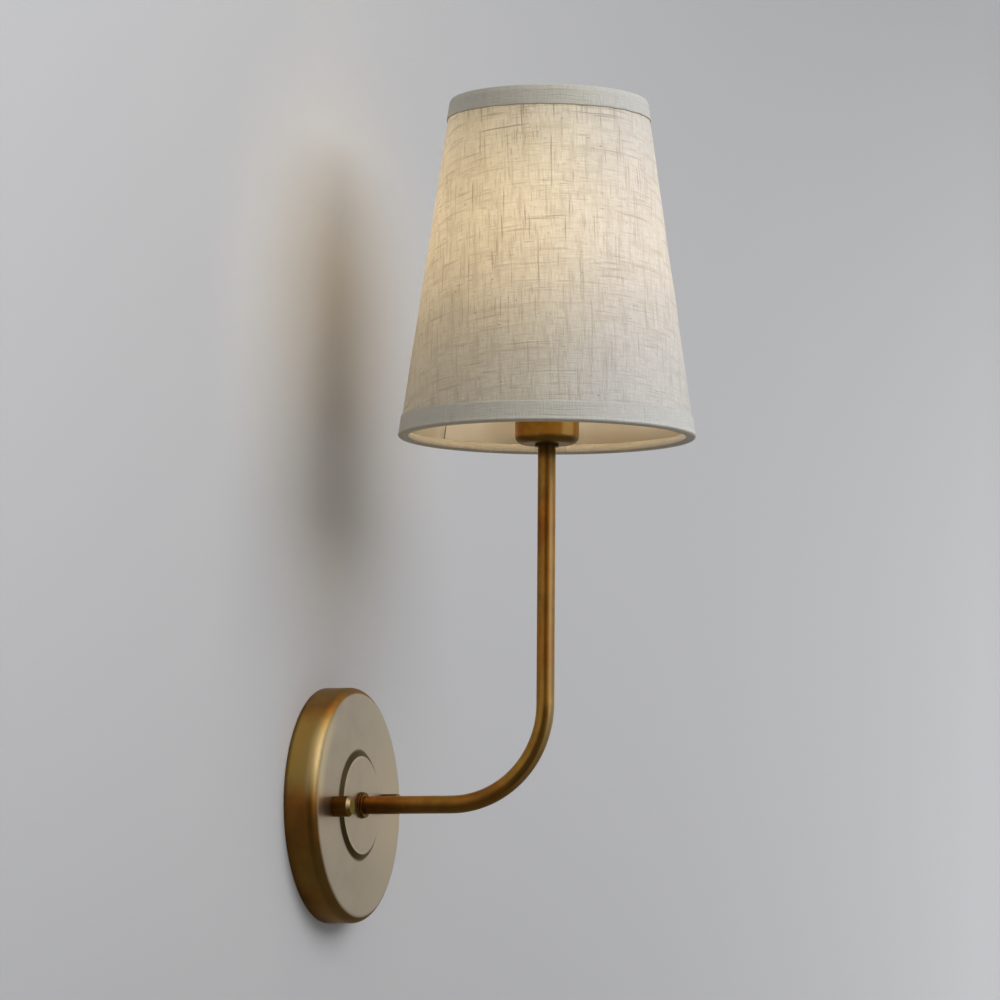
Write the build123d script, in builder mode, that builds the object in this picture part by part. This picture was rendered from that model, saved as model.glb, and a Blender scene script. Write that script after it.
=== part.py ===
"""Fabric shade wall light: a round dished backplate, a bent brass arm, a lamp cup and a linen shade.

Millimetres, +Z up. The wall is the plane Y = 0 and the lamp stands out of it along -Y.
The origin is on the wall, behind the centre of the backplate; the arm leaves along -Y at Z = 0.
"""

from build123d import *
from math import asin, atan2, cos, radians, sin
import os

os.makedirs("parts", exist_ok=True)

# ---------------------------------------------------------------- fits
fit = 0.05  # radial clearance of a thread, a shaft or a brazed seat
seat = 0.1  # clearance between faces of pieces that turn against each other
loose = 0.3  # radial clearance of a screw in its hole
cloth_gap = 0.1  # glue line between the layers of the shade

# ---------------------------------------------------------------- backplate
plate_d = 120.0
plate_depth = 16.8  # wall to the flat face
plate_sheet = 1.2
plate_rim_r = 4.6  # outer radius where the side turns into the face
boss_base_d = 55.6
boss_top_d = 49.6
boss_rise = 1.4
boss_round = 1.0

# ---------------------------------------------------------------- bracket and its fasteners
bracket_d = 102.0
bracket_sheet = 1.5
bracket_rise = 3.0  # wall to the back of the raised panel
bracket_panel_d = 78.0
bracket_web = 2.0  # radial run of the slope between the flange and the panel
bracket_opening_d = 38.0
box_circle_d = 88.9  # screw holes of an outlet box
box_hole_d = 4.6
stud_spacing = 68.0
stud_tilt = 3.5  # degrees that the line of the thumb nuts is off level
stud_d = 4.0
stud_head_d = 7.6
stud_head_h = 1.8
stud_slot_run = 8.0  # how far a stud can shift along its levelling slot
stud_nut_flats = 7.0
stud_nut_h = 3.0
driver_slot_w = 1.0
driver_slot_depth = 0.8
thumb_nut_d = 10.4
thumb_nut_h = 9.6
thumb_nut_chamfer = 1.6
thumb_nut_wall = 1.8  # metal left between the blind bore and the tip

# ---------------------------------------------------------------- earth
earth_angle = -60.0  # degrees from +X, seen from the room
earth_circle_d = 66.0
earth_screw_d = 3.5
earth_screw_len = 4.0
earth_head_d = 7.0
earth_head_h = 2.0
terminal_sheet = 0.8
terminal_d = 7.6
terminal_barrel_d = 3.2
terminal_barrel_len = 5.0
earth_lead_d = 1.8
earth_lead_in = 4.0  # lead inside each barrel
earth_lead_bend = 3.0
earth_lead_straight = 2.2  # lead past each barrel before it bends

# ---------------------------------------------------------------- arm
arm_reach = 117.0  # wall to the axis of the lamp
arm_height = 180.6  # arm axis to the top of the bare tube
arm_d = 9.1
arm_wall = 1.1
arm_bend = 50.0
arm_tail = 0.5  # tube past its nut
collar_d = 13.6
collar_flange_h = 0.8
collar_neck_d = 12.4
collar_neck_h = 0.3
collar_bead_d = 13.0
collar_bead_h = 0.9
collar_round = 0.25
arm_washer_d = 18.0
arm_washer_h = 1.0
arm_nut_flats = 14.0
arm_nut_h = 2.8
bushing_wall = 0.6
bushing_len = 4.0
bushing_lip = 0.6

# ---------------------------------------------------------------- lamp cup
seat_ring_d = 12.2
seat_ring_h = 1.3
cup_d = 32.4
cup_wall = 0.9
cup_h = 26.0
cup_corner_r = 4.2
cup_nut_h = 3.2

# ---------------------------------------------------------------- lampholder
base_d = 26.4
base_floor = 4.0
base_body_h = 13.0
base_neck_h = 4.0
base_wall = 2.1
neck_d = 23.2
sleeve_d = 28.0
sleeve_flange_d = 32.0
sleeve_flange_h = 3.0
sleeve_mouth_d = 17.0
sleeve_lip_h = 2.6
sleeve_h = 42.0
groove_pitch = 2.4
groove_depth = 0.45
insert_floor = 11.0
insert_h = 35.0
shell_wall = 0.35
shell_h = 20.0
shell_tab_edge = 2.4  # the shell's floor covers only the side beyond this X
terminal_x = 5.0
post_d = 3.0
block_w = 4.4
block_h = 4.6
contact_sheet = 0.5
contact_w = 4.0
contact_tip_r = 1.5
terminal_screw_head_d = 3.4
terminal_screw_head_h = 1.2
terminal_slot_w = 0.5
terminal_slot_depth = 0.4

# ---------------------------------------------------------------- wiring
lead_d = 2.0
lead_x = 1.5
lead_dish_bend = 2.7
lead_splay_bend = 4.0
lead_splay_h = 5.2
lead_straight = 1.5  # lead above the tube before it splays
lead_into_block = 2.5
connector_d = 7.6
connector_tip_d = 5.2
connector_tip_round = 1.3
connector_len = 18.0
connector_bore_depth = 12.0
connector_z = 13.0
lead_in_connector = 8.0

# ---------------------------------------------------------------- bulb
cap_d = 13.9
cap_h = 22.0
cap_sheet = 0.8
cap_pitch = 2.8
cap_groove = 0.4
cap_floor_bore_d = 9.8
insulator_h = 2.4
insulator_tip_d = 7.0
insulator_plug_h = 1.5
bulb_contact_d = 4.0
bulb_contact_h = 1.0
housing_top_d = 29.0
housing_bottom_d = 19.0
housing_h = 11.0
housing_wall = 1.4
housing_plug_h = 5.0
globe_d = 35.0
globe_foot_d = 28.2
globe_belly_h = 18.0  # housing to the widest ring of the globe
globe_tip_h = 46.0  # widest ring to the tip
globe_tip_r = 4.0
globe_wall = 0.8
led_board_h = 1.2
led_count = 6
led_circle_d = 15.0
led_w = 2.6
led_h = 0.6

# ---------------------------------------------------------------- shade
shade_bottom_d = 150.0
shade_top_d = 100.0
shade_h = 173.0
fabric_t = 0.7
liner_t = 0.5
band_t = 0.5
band_h = 10.6
band_lap = 5.0  # hem turned over on the inside
band_roll_r = 1.6
shade_wire_d = 2.4
spider_wire_d = 2.2
spider_arms = 3
spider_first_angle = 30.0
spider_bend = 6.0
spider_foot_run = 8.0  # level run from the carrier before an arm climbs
spider_head_run = 6.0  # level run into the top wire
spider_weld = 0.8  # how far an arm is let into the carrier
carrier_d = 38.0
carrier_t = 1.4
carrier_drop = 26.1  # lower rim of the shade to the carrier
ring_nut_d = 35.0
ring_nut_h = 6.0
ring_nut_notches = 24
ring_nut_notch_d = 1.2

# ---------------------------------------------------------------- heights and depths worked out
plate_r = plate_d / 2
boss_face = plate_depth + boss_rise
boss_back = boss_face - plate_sheet
bracket_front = bracket_rise + bracket_sheet
arm_r = arm_d / 2
arm_bore_r = arm_r - arm_wall
tab_face = boss_back - arm_washer_h  # the earth tab lies between the arm's washer and its nut
arm_nut_face = tab_face - terminal_sheet
arm_nut_back = arm_nut_face - arm_nut_h
arm_end = arm_nut_back - arm_tail
cup_floor_z = arm_height + seat_ring_h
cup_nut_z = cup_floor_z + cup_wall
base_z = cup_nut_z + cup_nut_h
arm_top_z = base_z + base_floor
neck_z = base_z + base_body_h
insert_z = neck_z + base_neck_h
flange_z = cup_floor_z + cup_h + seat
flange_top_z = flange_z + sleeve_flange_h
sleeve_top_z = neck_z + sleeve_h
bore_floor_z = insert_z + insert_floor
carrier_z = flange_top_z + seat
ring_nut_z = carrier_z + carrier_t + seat
cap_top_z = sleeve_top_z + loose
cap_z = cap_top_z - cap_h
contact_tip_z = cap_z - insulator_h - bulb_contact_h
block_z = insert_z - block_h
shade_z = carrier_z - carrier_drop
shade_top_z = shade_z + shade_h
lead_depth = arm_end - bushing_lip - lead_dish_bend

# ---------------------------------------------------------------- planes and axes
out_plane = Plane(origin=(0, 0, 0), x_dir=(1, 0, 0), z_dir=(0, 0, -1))  # radius, depth from the wall
stem_plane = Plane(origin=(0, -arm_reach, 0), x_dir=(1, 0, 0), z_dir=(0, -1, 0))  # radius, height
stem_axis = Axis((0, -arm_reach, 0), (0, 0, 1))


def wall_plane(depth, x=0.0, z=0.0):
    """A plane parallel to the wall whose normal points into the room."""
    return Plane(origin=(x, -depth, z), x_dir=(1, 0, 0), z_dir=(0, -1, 0))


def level_plane(z, x=0.0):
    """A level plane on the lamp's axis, or beside it along X."""
    return Plane(origin=(x, -arm_reach, z), x_dir=(1, 0, 0), z_dir=(0, 0, 1))


def radial_plane(angle):
    """The upright plane through the lamp's axis at an angle from +X: radius, height."""
    turn = radians(angle)
    return Plane(origin=(0, -arm_reach, 0), x_dir=(cos(turn), sin(turn), 0), z_dir=(sin(turn), -cos(turn), 0))


def shade_r(z, inset=0.0):
    """Radius of the linen's outer face at a height, less an inset."""
    share = (z - shade_z) / shade_h
    return (shade_bottom_d + (shade_top_d - shade_bottom_d) * share) / 2 - inset


def corner(sketch, x, y):
    """The vertex of a sketch that lies nearest a point."""
    return sketch.vertices().sort_by_distance((x, y, 0))[0]


def save(piece, name):
    """Label a finished piece and write it."""
    piece.part.label = name
    export_step(piece.part, f"parts/{name}.step")


# ================================================================ wall bracket
panel_r = bracket_panel_d / 2
web_r = panel_r + bracket_web
with BuildPart() as wall_bracket:
    with BuildSketch(out_plane):
        with BuildLine():
            Polyline(
                (bracket_d / 2, 0),
                (bracket_d / 2, bracket_sheet),
                (web_r, bracket_sheet),
                (panel_r, bracket_front),
                (bracket_opening_d / 2, bracket_front),
                (bracket_opening_d / 2, bracket_rise),
                (panel_r - bracket_sheet / 2, bracket_rise),
                (web_r - bracket_sheet / 2, 0),
                close=True,
            )
        make_face()
    revolve(axis=Axis.Y)
    with BuildSketch(wall_plane(0)):
        with PolarLocations(box_circle_d / 2, 4, start_angle=0):
            Circle(box_hole_d / 2)
        with PolarLocations(stud_spacing / 2, 2, start_angle=0):
            SlotCenterToCenter(stud_slot_run, stud_d + 2 * fit, rotation=90)
        with PolarLocations(earth_circle_d / 2, 1, start_angle=earth_angle):
            Circle(earth_screw_d / 2 + fit)
    extrude(amount=bracket_front, mode=Mode.SUBTRACT)
save(wall_bracket, "wall_bracket")

# ================================================================ studs, their nuts and the thumb nuts
stud_end = plate_depth + thumb_nut_h - thumb_nut_wall - seat
for side, angle in (("right", stud_tilt), ("left", 180 + stud_tilt)):
    stud_x = stud_spacing / 2 * cos(radians(angle))
    stud_z = stud_spacing / 2 * sin(radians(angle))

    with BuildPart() as stud:
        with BuildSketch(wall_plane(bracket_rise, stud_x, stud_z)):
            Circle(stud_head_d / 2)
        extrude(amount=-stud_head_h)
        with BuildSketch(wall_plane(bracket_rise - stud_head_h, stud_x, stud_z)):
            Rectangle(stud_head_d, driver_slot_w)
        extrude(amount=driver_slot_depth, mode=Mode.SUBTRACT)
        with BuildSketch(wall_plane(bracket_rise, stud_x, stud_z)):
            Circle(stud_d / 2)
        extrude(amount=stud_end - bracket_rise)
    save(stud, f"bracket_stud_{side}")

    with BuildPart() as stud_nut:
        with BuildSketch(wall_plane(bracket_front, stud_x, stud_z)):
            RegularPolygon(stud_nut_flats / 2, 6, major_radius=False)
            Circle(stud_d / 2 + fit, mode=Mode.SUBTRACT)
        extrude(amount=stud_nut_h)
    save(stud_nut, f"stud_nut_{side}")

    with BuildPart() as thumb_nut:
        with BuildSketch(wall_plane(plate_depth + seat, stud_x, stud_z)):
            Circle(thumb_nut_d / 2)
        extrude(amount=thumb_nut_h - seat)
        chamfer(thumb_nut.edges().sort_by(Axis.Y)[0], thumb_nut_chamfer)
        with BuildSketch(wall_plane(plate_depth + seat, stud_x, stud_z)):
            Circle(stud_d / 2 + fit)
        extrude(amount=thumb_nut_h - thumb_nut_wall, mode=Mode.SUBTRACT)
    save(thumb_nut, f"thumb_nut_{side}")

# ================================================================ backplate
with BuildPart() as backplate:
    with BuildSketch(out_plane) as dish:
        with BuildLine():
            Polyline(
                (plate_r, 0),
                (plate_r, plate_depth),
                (boss_base_d / 2, plate_depth),
                (boss_top_d / 2, boss_face),
                (arm_r + fit, boss_face),
                (arm_r + fit, boss_back),
                (boss_top_d / 2 - plate_sheet / 2, boss_back),
                (boss_base_d / 2 - plate_sheet / 2, plate_depth - plate_sheet),
                (plate_r - plate_sheet, plate_depth - plate_sheet),
                (plate_r - plate_sheet, 0),
                close=True,
            )
        make_face()
        fillet(corner(dish, plate_r, plate_depth), plate_rim_r)
        fillet(corner(dish, plate_r - plate_sheet, plate_depth - plate_sheet), plate_rim_r - plate_sheet)
        fillet(corner(dish, boss_base_d / 2, plate_depth), boss_round)
        fillet(corner(dish, boss_top_d / 2, boss_face), boss_round)
    revolve(axis=Axis.Y)
    with BuildSketch(wall_plane(0)):
        with PolarLocations(stud_spacing / 2, 2, start_angle=stud_tilt):
            Circle(stud_d / 2 + loose)
    extrude(amount=boss_face, mode=Mode.SUBTRACT)
save(backplate, "backplate")

# ================================================================ arm
with BuildPart() as arm_tube:
    with BuildLine() as arm_run:
        FilletPolyline(
            (0, -arm_end, 0),
            (0, -arm_reach, 0),
            (0, -arm_reach, arm_top_z),
            radius=arm_bend,
        )
    with BuildSketch(wall_plane(arm_end)):
        Circle(arm_r)
        Circle(arm_bore_r, mode=Mode.SUBTRACT)
    sweep(path=arm_run.line)
save(arm_tube, "arm_tube")

collar_neck = boss_face + collar_flange_h
collar_bead = collar_neck + collar_neck_h
collar_end = collar_bead + collar_bead_h
with BuildPart() as arm_collar:
    with BuildSketch(out_plane) as collar_half:
        with BuildLine():
            Polyline(
                (arm_r + fit, boss_face),
                (collar_d / 2, boss_face),
                (collar_d / 2, collar_neck),
                (collar_neck_d / 2, collar_neck),
                (collar_neck_d / 2, collar_bead),
                (collar_bead_d / 2, collar_bead),
                (collar_bead_d / 2, collar_end),
                (arm_r + fit, collar_end),
                close=True,
            )
        make_face()
        fillet(corner(collar_half, collar_d / 2, collar_neck), collar_round)
        fillet(corner(collar_half, collar_bead_d / 2, collar_end), collar_round)
    revolve(axis=Axis.Y)
save(arm_collar, "arm_collar")

with BuildPart() as arm_washer:
    with BuildSketch(wall_plane(boss_back)):
        Circle(arm_washer_d / 2)
        Circle(arm_r + fit, mode=Mode.SUBTRACT)
    extrude(amount=-arm_washer_h)
save(arm_washer, "arm_washer")

with BuildPart() as arm_nut:
    with BuildSketch(wall_plane(arm_nut_face)):
        RegularPolygon(arm_nut_flats / 2, 6, major_radius=False)
        Circle(arm_r + fit, mode=Mode.SUBTRACT)
    extrude(amount=-arm_nut_h)
save(arm_nut, "arm_nut")

bushing_r = arm_bore_r - fit
with BuildPart() as arm_bushing:
    with BuildSketch(wall_plane(arm_end)):
        Circle(arm_r)
        Circle(bushing_r - bushing_wall, mode=Mode.SUBTRACT)
    extrude(amount=-bushing_lip)
    with BuildSketch(wall_plane(arm_end)):
        Circle(bushing_r)
        Circle(bushing_r - bushing_wall, mode=Mode.SUBTRACT)
    extrude(amount=bushing_len)
save(arm_bushing, "arm_bushing")

# ================================================================ earth lead
earth_turn = radians(earth_angle)
earth_out = Vector(cos(earth_turn), 0, sin(earth_turn))
earth_r = earth_circle_d / 2
earth_x = earth_out.X * earth_r
earth_z = earth_out.Z * earth_r
tab_mid = tab_face - terminal_barrel_d / 2
tab_start = arm_nut_flats / 2 / cos(radians(30)) + loose  # clear of the nut's corners
tab_end = tab_start + terminal_barrel_len
terminal_front = bracket_front + terminal_sheet
terminal_mid = bracket_front + terminal_barrel_d / 2
terminal_end = earth_r - terminal_d / 2
terminal_start = terminal_end - terminal_barrel_len


def earth_plane(r, depth):
    """A plane square to the earth line, its normal pointing away from the arm."""
    return Plane(origin=earth_out * r + Vector(0, -depth, 0), x_dir=(0, -1, 0), z_dir=earth_out)


def earth_point(r, depth):
    """A point on the earth line's own plane."""
    return earth_out * r + Vector(0, -depth, 0)


with BuildPart() as earth_tab:
    with BuildSketch(wall_plane(tab_face)):
        Circle(arm_washer_d / 2)
        with PolarLocations(tab_end / 2, 1, start_angle=earth_angle):
            Rectangle(tab_end, terminal_barrel_d)
        Circle(arm_r + fit, mode=Mode.SUBTRACT)
    extrude(amount=-terminal_sheet)
    with BuildSketch(earth_plane(tab_start, tab_mid)):
        Circle(terminal_barrel_d / 2)
    extrude(amount=terminal_barrel_len)
    with BuildSketch(earth_plane(tab_start, tab_mid)):
        Circle(earth_lead_d / 2 + fit)
    extrude(amount=terminal_barrel_len, mode=Mode.SUBTRACT)
save(earth_tab, "earth_tab")

with BuildPart() as earth_terminal:
    with BuildSketch(wall_plane(bracket_front)):
        with Locations((earth_x, earth_z)):
            Circle(terminal_d / 2)
        with PolarLocations((terminal_start + earth_r) / 2, 1, start_angle=earth_angle):
            Rectangle(earth_r - terminal_start, terminal_barrel_d)
    extrude(amount=terminal_sheet)
    with BuildSketch(earth_plane(terminal_start, terminal_mid)):
        Circle(terminal_barrel_d / 2)
    extrude(amount=terminal_barrel_len)
    with BuildSketch(earth_plane(terminal_start, terminal_mid)):
        Circle(earth_lead_d / 2 + fit)
    extrude(amount=terminal_barrel_len, mode=Mode.SUBTRACT)
    with BuildSketch(wall_plane(bracket_front, earth_x, earth_z)):
        Circle(earth_screw_d / 2 + fit)
    extrude(amount=terminal_sheet, mode=Mode.SUBTRACT)
save(earth_terminal, "earth_terminal")

with BuildPart() as earth_screw:
    with BuildSketch(wall_plane(terminal_front, earth_x, earth_z)):
        Circle(earth_head_d / 2)
    extrude(amount=earth_head_h)
    with BuildSketch(wall_plane(terminal_front + earth_head_h, earth_x, earth_z)):
        Rectangle(earth_head_d, driver_slot_w)
    extrude(amount=-driver_slot_depth, mode=Mode.SUBTRACT)
    with BuildSketch(wall_plane(terminal_front, earth_x, earth_z)):
        Circle(earth_screw_d / 2)
    extrude(amount=-earth_screw_len)
save(earth_screw, "earth_screw")

with BuildPart() as earth_lead:
    with BuildLine() as earth_run:
        FilletPolyline(
            earth_point(tab_end - earth_lead_in, tab_mid),
            earth_point(tab_end + earth_lead_straight, tab_mid),
            earth_point(terminal_start - earth_lead_straight, terminal_mid),
            earth_point(terminal_start + earth_lead_in, terminal_mid),
            radius=earth_lead_bend,
        )
    with BuildSketch(earth_plane(tab_end - earth_lead_in, tab_mid)):
        Circle(earth_lead_d / 2)
    sweep(path=earth_run.line)
save(earth_lead, "earth_lead")

# ================================================================ lamp cup
with BuildPart() as seat_ring:
    with BuildSketch(level_plane(arm_height)):
        Circle(seat_ring_d / 2)
        Circle(arm_r + fit, mode=Mode.SUBTRACT)
    extrude(amount=seat_ring_h)
save(seat_ring, "seat_ring")

cup_r = cup_d / 2
with BuildPart() as lamp_cup:
    with BuildSketch(stem_plane) as cup_half:
        with BuildLine():
            Polyline(
                (arm_r + fit, cup_floor_z),
                (cup_r, cup_floor_z),
                (cup_r, cup_floor_z + cup_h),
                (cup_r - cup_wall, cup_floor_z + cup_h),
                (cup_r - cup_wall, cup_nut_z),
                (arm_r + fit, cup_nut_z),
                close=True,
            )
        make_face()
        fillet(corner(cup_half, cup_r, cup_floor_z), cup_corner_r)
        fillet(corner(cup_half, cup_r - cup_wall, cup_nut_z), cup_corner_r - cup_wall)
    revolve(axis=stem_axis)
save(lamp_cup, "lamp_cup")

with BuildPart() as cup_nut:
    with BuildSketch(level_plane(cup_nut_z)):
        RegularPolygon(arm_nut_flats / 2, 6, major_radius=False)
        Circle(arm_r + fit, mode=Mode.SUBTRACT)
    extrude(amount=cup_nut_h)
save(cup_nut, "cup_nut")

# ================================================================ lampholder
neck_r = neck_d / 2
sleeve_r = sleeve_d / 2
with BuildPart() as holder_base:
    with BuildSketch(stem_plane):
        with BuildLine():
            Polyline(
                (arm_r + fit, base_z),
                (base_d / 2, base_z),
                (base_d / 2, neck_z),
                (neck_r, neck_z),
                (neck_r, insert_z),
                (neck_r - base_wall, insert_z),
                (neck_r - base_wall, arm_top_z),
                (arm_r + fit, arm_top_z),
                close=True,
            )
        make_face()
    revolve(axis=stem_axis)
save(holder_base, "holder_base")

shell_r = cap_d / 2 + fit
half_floor_w = 4 * shell_r  # wider than the shell, so that it cuts the floor along one edge only
with BuildPart() as holder_insert:
    with BuildSketch(level_plane(insert_z)):
        Circle(neck_r)
    extrude(amount=insert_h)
    with BuildSketch(level_plane(bore_floor_z)):
        Circle(shell_r + shell_wall + fit)
    extrude(amount=insert_h, mode=Mode.SUBTRACT)
    with BuildSketch(level_plane(insert_z)):
        with Locations((terminal_x, 0), (-terminal_x, 0)):
            Circle(post_d / 2 + fit)
    extrude(amount=insert_floor, mode=Mode.SUBTRACT)
save(holder_insert, "holder_insert")

with BuildPart() as holder_sleeve:
    with BuildSketch(stem_plane) as sleeve_half:
        with BuildLine():
            Polyline(
                (neck_r + fit, neck_z),
                (sleeve_r, neck_z),
                (sleeve_r, flange_z),
                (sleeve_flange_d / 2, flange_z),
                (sleeve_flange_d / 2, flange_top_z),
                (sleeve_r, flange_top_z),
                (sleeve_r, sleeve_top_z),
                (sleeve_mouth_d / 2, sleeve_top_z),
                (sleeve_mouth_d / 2, sleeve_top_z - sleeve_lip_h),
                (neck_r + fit, sleeve_top_z - sleeve_lip_h),
                close=True,
            )
        make_face()
        fillet(corner(sleeve_half, sleeve_r, sleeve_top_z), groove_depth)
    revolve(axis=stem_axis)
    groove_start = ring_nut_z + ring_nut_h + groove_pitch / 2
    groove_count = int((sleeve_top_z - groove_start) / groove_pitch)
    with BuildSketch(stem_plane):
        for turn in range(groove_count):
            with Locations((sleeve_r, groove_start + turn * groove_pitch)):
                Rectangle(2 * groove_depth, groove_pitch / 2)
    revolve(axis=stem_axis, mode=Mode.SUBTRACT)
save(holder_sleeve, "holder_sleeve")

# the screw shell stands on a half floor riveted to its terminal; the centre contact is a bent strip
block_bore_h = lead_into_block + fit


def terminal(x):
    """A terminal block under the insert with its post up through the insert's floor."""
    with BuildSketch(level_plane(block_z, x)) as block:
        Rectangle(block_w, block_w)
    extrude(block.sketch, amount=block_h)
    with BuildSketch(level_plane(insert_z, x)) as post:
        Circle(post_d / 2)
    extrude(post.sketch, amount=insert_floor)
    with BuildSketch(level_plane(block_z, x)) as lead_bore:
        Circle(lead_d / 2 + fit)
    extrude(lead_bore.sketch, amount=block_bore_h, mode=Mode.SUBTRACT)


with BuildPart() as screw_shell:
    terminal(terminal_x)
    with BuildSketch(level_plane(bore_floor_z)):
        Circle(shell_r + shell_wall)
        Circle(shell_r, mode=Mode.SUBTRACT)
    extrude(amount=shell_h)
    with BuildSketch(level_plane(bore_floor_z)):
        Circle(shell_r + shell_wall)
        with Locations((shell_tab_edge + half_floor_w / 2, 0)):
            Rectangle(half_floor_w, half_floor_w, mode=Mode.INTERSECT)
    extrude(amount=contact_sheet)
save(screw_shell, "screw_shell")

spring_top = contact_tip_z - seat
with BuildPart() as centre_contact:
    terminal(-terminal_x)
    with BuildSketch(level_plane(bore_floor_z)):
        with Locations((-(terminal_x + post_d / 2) / 2, 0)):
            Rectangle(terminal_x + post_d / 2, contact_w)
    extrude(amount=contact_sheet)
    with BuildSketch(level_plane(bore_floor_z)):
        Circle(contact_tip_r)
    extrude(amount=spring_top - bore_floor_z)
save(centre_contact, "centre_contact")

for pole, way in (("neutral", 1), ("line", -1)):
    head_x = way * (terminal_x + block_w / 2)
    screw_plane = Plane(
        origin=(head_x, -arm_reach, block_z + lead_into_block / 2), x_dir=(0, 1, 0), z_dir=(way, 0, 0)
    )
    with BuildPart() as terminal_screw:
        with BuildSketch(screw_plane):
            Circle(terminal_screw_head_d / 2)
        extrude(amount=terminal_screw_head_h)
        with BuildSketch(screw_plane.offset(terminal_screw_head_h)):
            Rectangle(terminal_screw_head_d, terminal_slot_w)
        extrude(amount=-terminal_slot_depth, mode=Mode.SUBTRACT)
    save(terminal_screw, f"terminal_screw_{pole}")

# ================================================================ leads and their connectors
for pole, way in (("neutral", 1), ("line", -1)):
    x = way * lead_x
    lead_end_z = -way * (connector_z + lead_in_connector)
    splay_z = arm_top_z + lead_straight
    with BuildPart() as lead:
        with BuildLine() as lead_run:
            FilletPolyline(
                (x, -lead_depth, lead_end_z),
                (x, -lead_depth, 0),
                (x, -arm_reach, 0),
                (x, -arm_reach, splay_z),
                (way * terminal_x, -arm_reach, splay_z + lead_splay_h),
                (way * terminal_x, -arm_reach, block_z + lead_into_block),
                radius=[lead_dish_bend, arm_bend, lead_splay_bend, lead_splay_bend],
            )
        with BuildSketch(Plane(origin=(x, -lead_depth, lead_end_z), z_dir=(0, 0, way))):
            Circle(lead_d / 2)
        sweep(path=lead_run.line)
    save(lead, f"lead_{pole}")

    cap_plane = Plane(origin=(x, -lead_depth, 0), x_dir=(1, 0, 0), z_dir=(0, way, 0))  # radius, length
    with BuildPart() as connector:
        with BuildSketch(cap_plane) as connector_half:
            with BuildLine():
                Polyline(
                    (lead_d / 2 + loose, connector_z),
                    (connector_d / 2, connector_z),
                    (connector_tip_d / 2, connector_z + connector_len),
                    (0, connector_z + connector_len),
                    (0, connector_z + connector_bore_depth),
                    (lead_d / 2 + loose, connector_z + connector_bore_depth),
                    close=True,
                )
            make_face()
            tip = corner(connector_half, connector_tip_d / 2, connector_z + connector_len)
            fillet(tip, connector_tip_round)
        revolve(axis=Axis((x, -lead_depth, 0), (0, 0, 1)))
    save(connector, f"wire_connector_{pole}")

# ================================================================ bulb
cap_r = cap_d / 2
with BuildPart() as bulb_cap:
    with BuildSketch(stem_plane):
        with BuildLine():
            Polyline(
                (cap_floor_bore_d / 2, cap_z),
                (cap_r, cap_z),
                (cap_r, cap_top_z),
                (cap_r - cap_sheet, cap_top_z),
                (cap_r - cap_sheet, cap_z + cap_sheet),
                (cap_floor_bore_d / 2, cap_z + cap_sheet),
                close=True,
            )
        make_face()
    revolve(axis=stem_axis)
    with BuildSketch(stem_plane):
        for turn in range(1, int(cap_h / cap_pitch)):
            with Locations((cap_r, cap_z + turn * cap_pitch)):
                Rectangle(2 * cap_groove, cap_pitch / 2)
    revolve(axis=stem_axis, mode=Mode.SUBTRACT)
save(bulb_cap, "bulb_cap")

plug_r = cap_floor_bore_d / 2 - fit
with BuildPart() as bulb_insulator:
    with BuildSketch(stem_plane):
        with BuildLine():
            Polyline(
                (0, cap_z - insulator_h),
                (insulator_tip_d / 2, cap_z - insulator_h),
                (cap_r - cap_sheet, cap_z),
                (plug_r, cap_z),
                (plug_r, cap_z + insulator_plug_h),
                (0, cap_z + insulator_plug_h),
                close=True,
            )
        make_face()
    revolve(axis=stem_axis)
save(bulb_insulator, "bulb_insulator")

with BuildPart() as bulb_contact:
    with BuildSketch(level_plane(contact_tip_z)):
        Circle(bulb_contact_d / 2)
    extrude(amount=bulb_contact_h)
    fillet(bulb_contact.edges().sort_by(Axis.Z)[0], bulb_contact_h / 2)
save(bulb_contact, "bulb_contact")

housing_z = cap_top_z
housing_top_z = housing_z + housing_h
housing_plug_r = cap_r - cap_sheet - fit
with BuildPart() as bulb_housing:
    with BuildSketch(stem_plane) as housing_half:
        with BuildLine():
            Polyline(
                (housing_plug_r - housing_wall, housing_z - housing_plug_h),
                (housing_plug_r, housing_z - housing_plug_h),
                (housing_plug_r, housing_z),
                (housing_bottom_d / 2, housing_z),
                (housing_top_d / 2, housing_top_z),
                (housing_top_d / 2 - housing_wall, housing_top_z),
                (housing_bottom_d / 2 - housing_wall, housing_z + housing_wall),
                (housing_plug_r - housing_wall, housing_z + housing_wall),
                close=True,
            )
        make_face()
        fillet(corner(housing_half, housing_bottom_d / 2, housing_z), housing_wall / 2)
    revolve(axis=stem_axis)
save(bulb_housing, "bulb_housing")

housing_slope = (housing_top_d - housing_bottom_d) / 2 / (housing_h - housing_wall)
board_z = housing_top_z - led_board_h
with BuildPart() as led_board:
    with BuildSketch(level_plane(board_z)):
        Circle(housing_top_d / 2 - housing_wall - housing_slope * led_board_h - fit)
    extrude(amount=led_board_h)
    with BuildSketch(level_plane(housing_top_z)):
        with PolarLocations(led_circle_d / 2, led_count):
            Rectangle(led_w, led_w)
    extrude(amount=led_h)
save(led_board, "led_board")

# the globe is an ogive: a foot arc, a side arc upright at the widest ring and a small tip arc
globe_r = globe_d / 2
globe_foot_r = globe_foot_d / 2
belly_z = housing_top_z + globe_belly_h
tip_centre_h = globe_tip_h - globe_tip_r
foot_step = globe_r - globe_foot_r
foot_arc_r = (globe_belly_h**2 + foot_step**2) / (2 * foot_step)
side_arc_r = (globe_r**2 + tip_centre_h**2 - globe_tip_r**2) / (2 * (globe_r - globe_tip_r))
side_centre_x = globe_r - side_arc_r
tip_turn = atan2(tip_centre_h, -side_centre_x)


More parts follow.
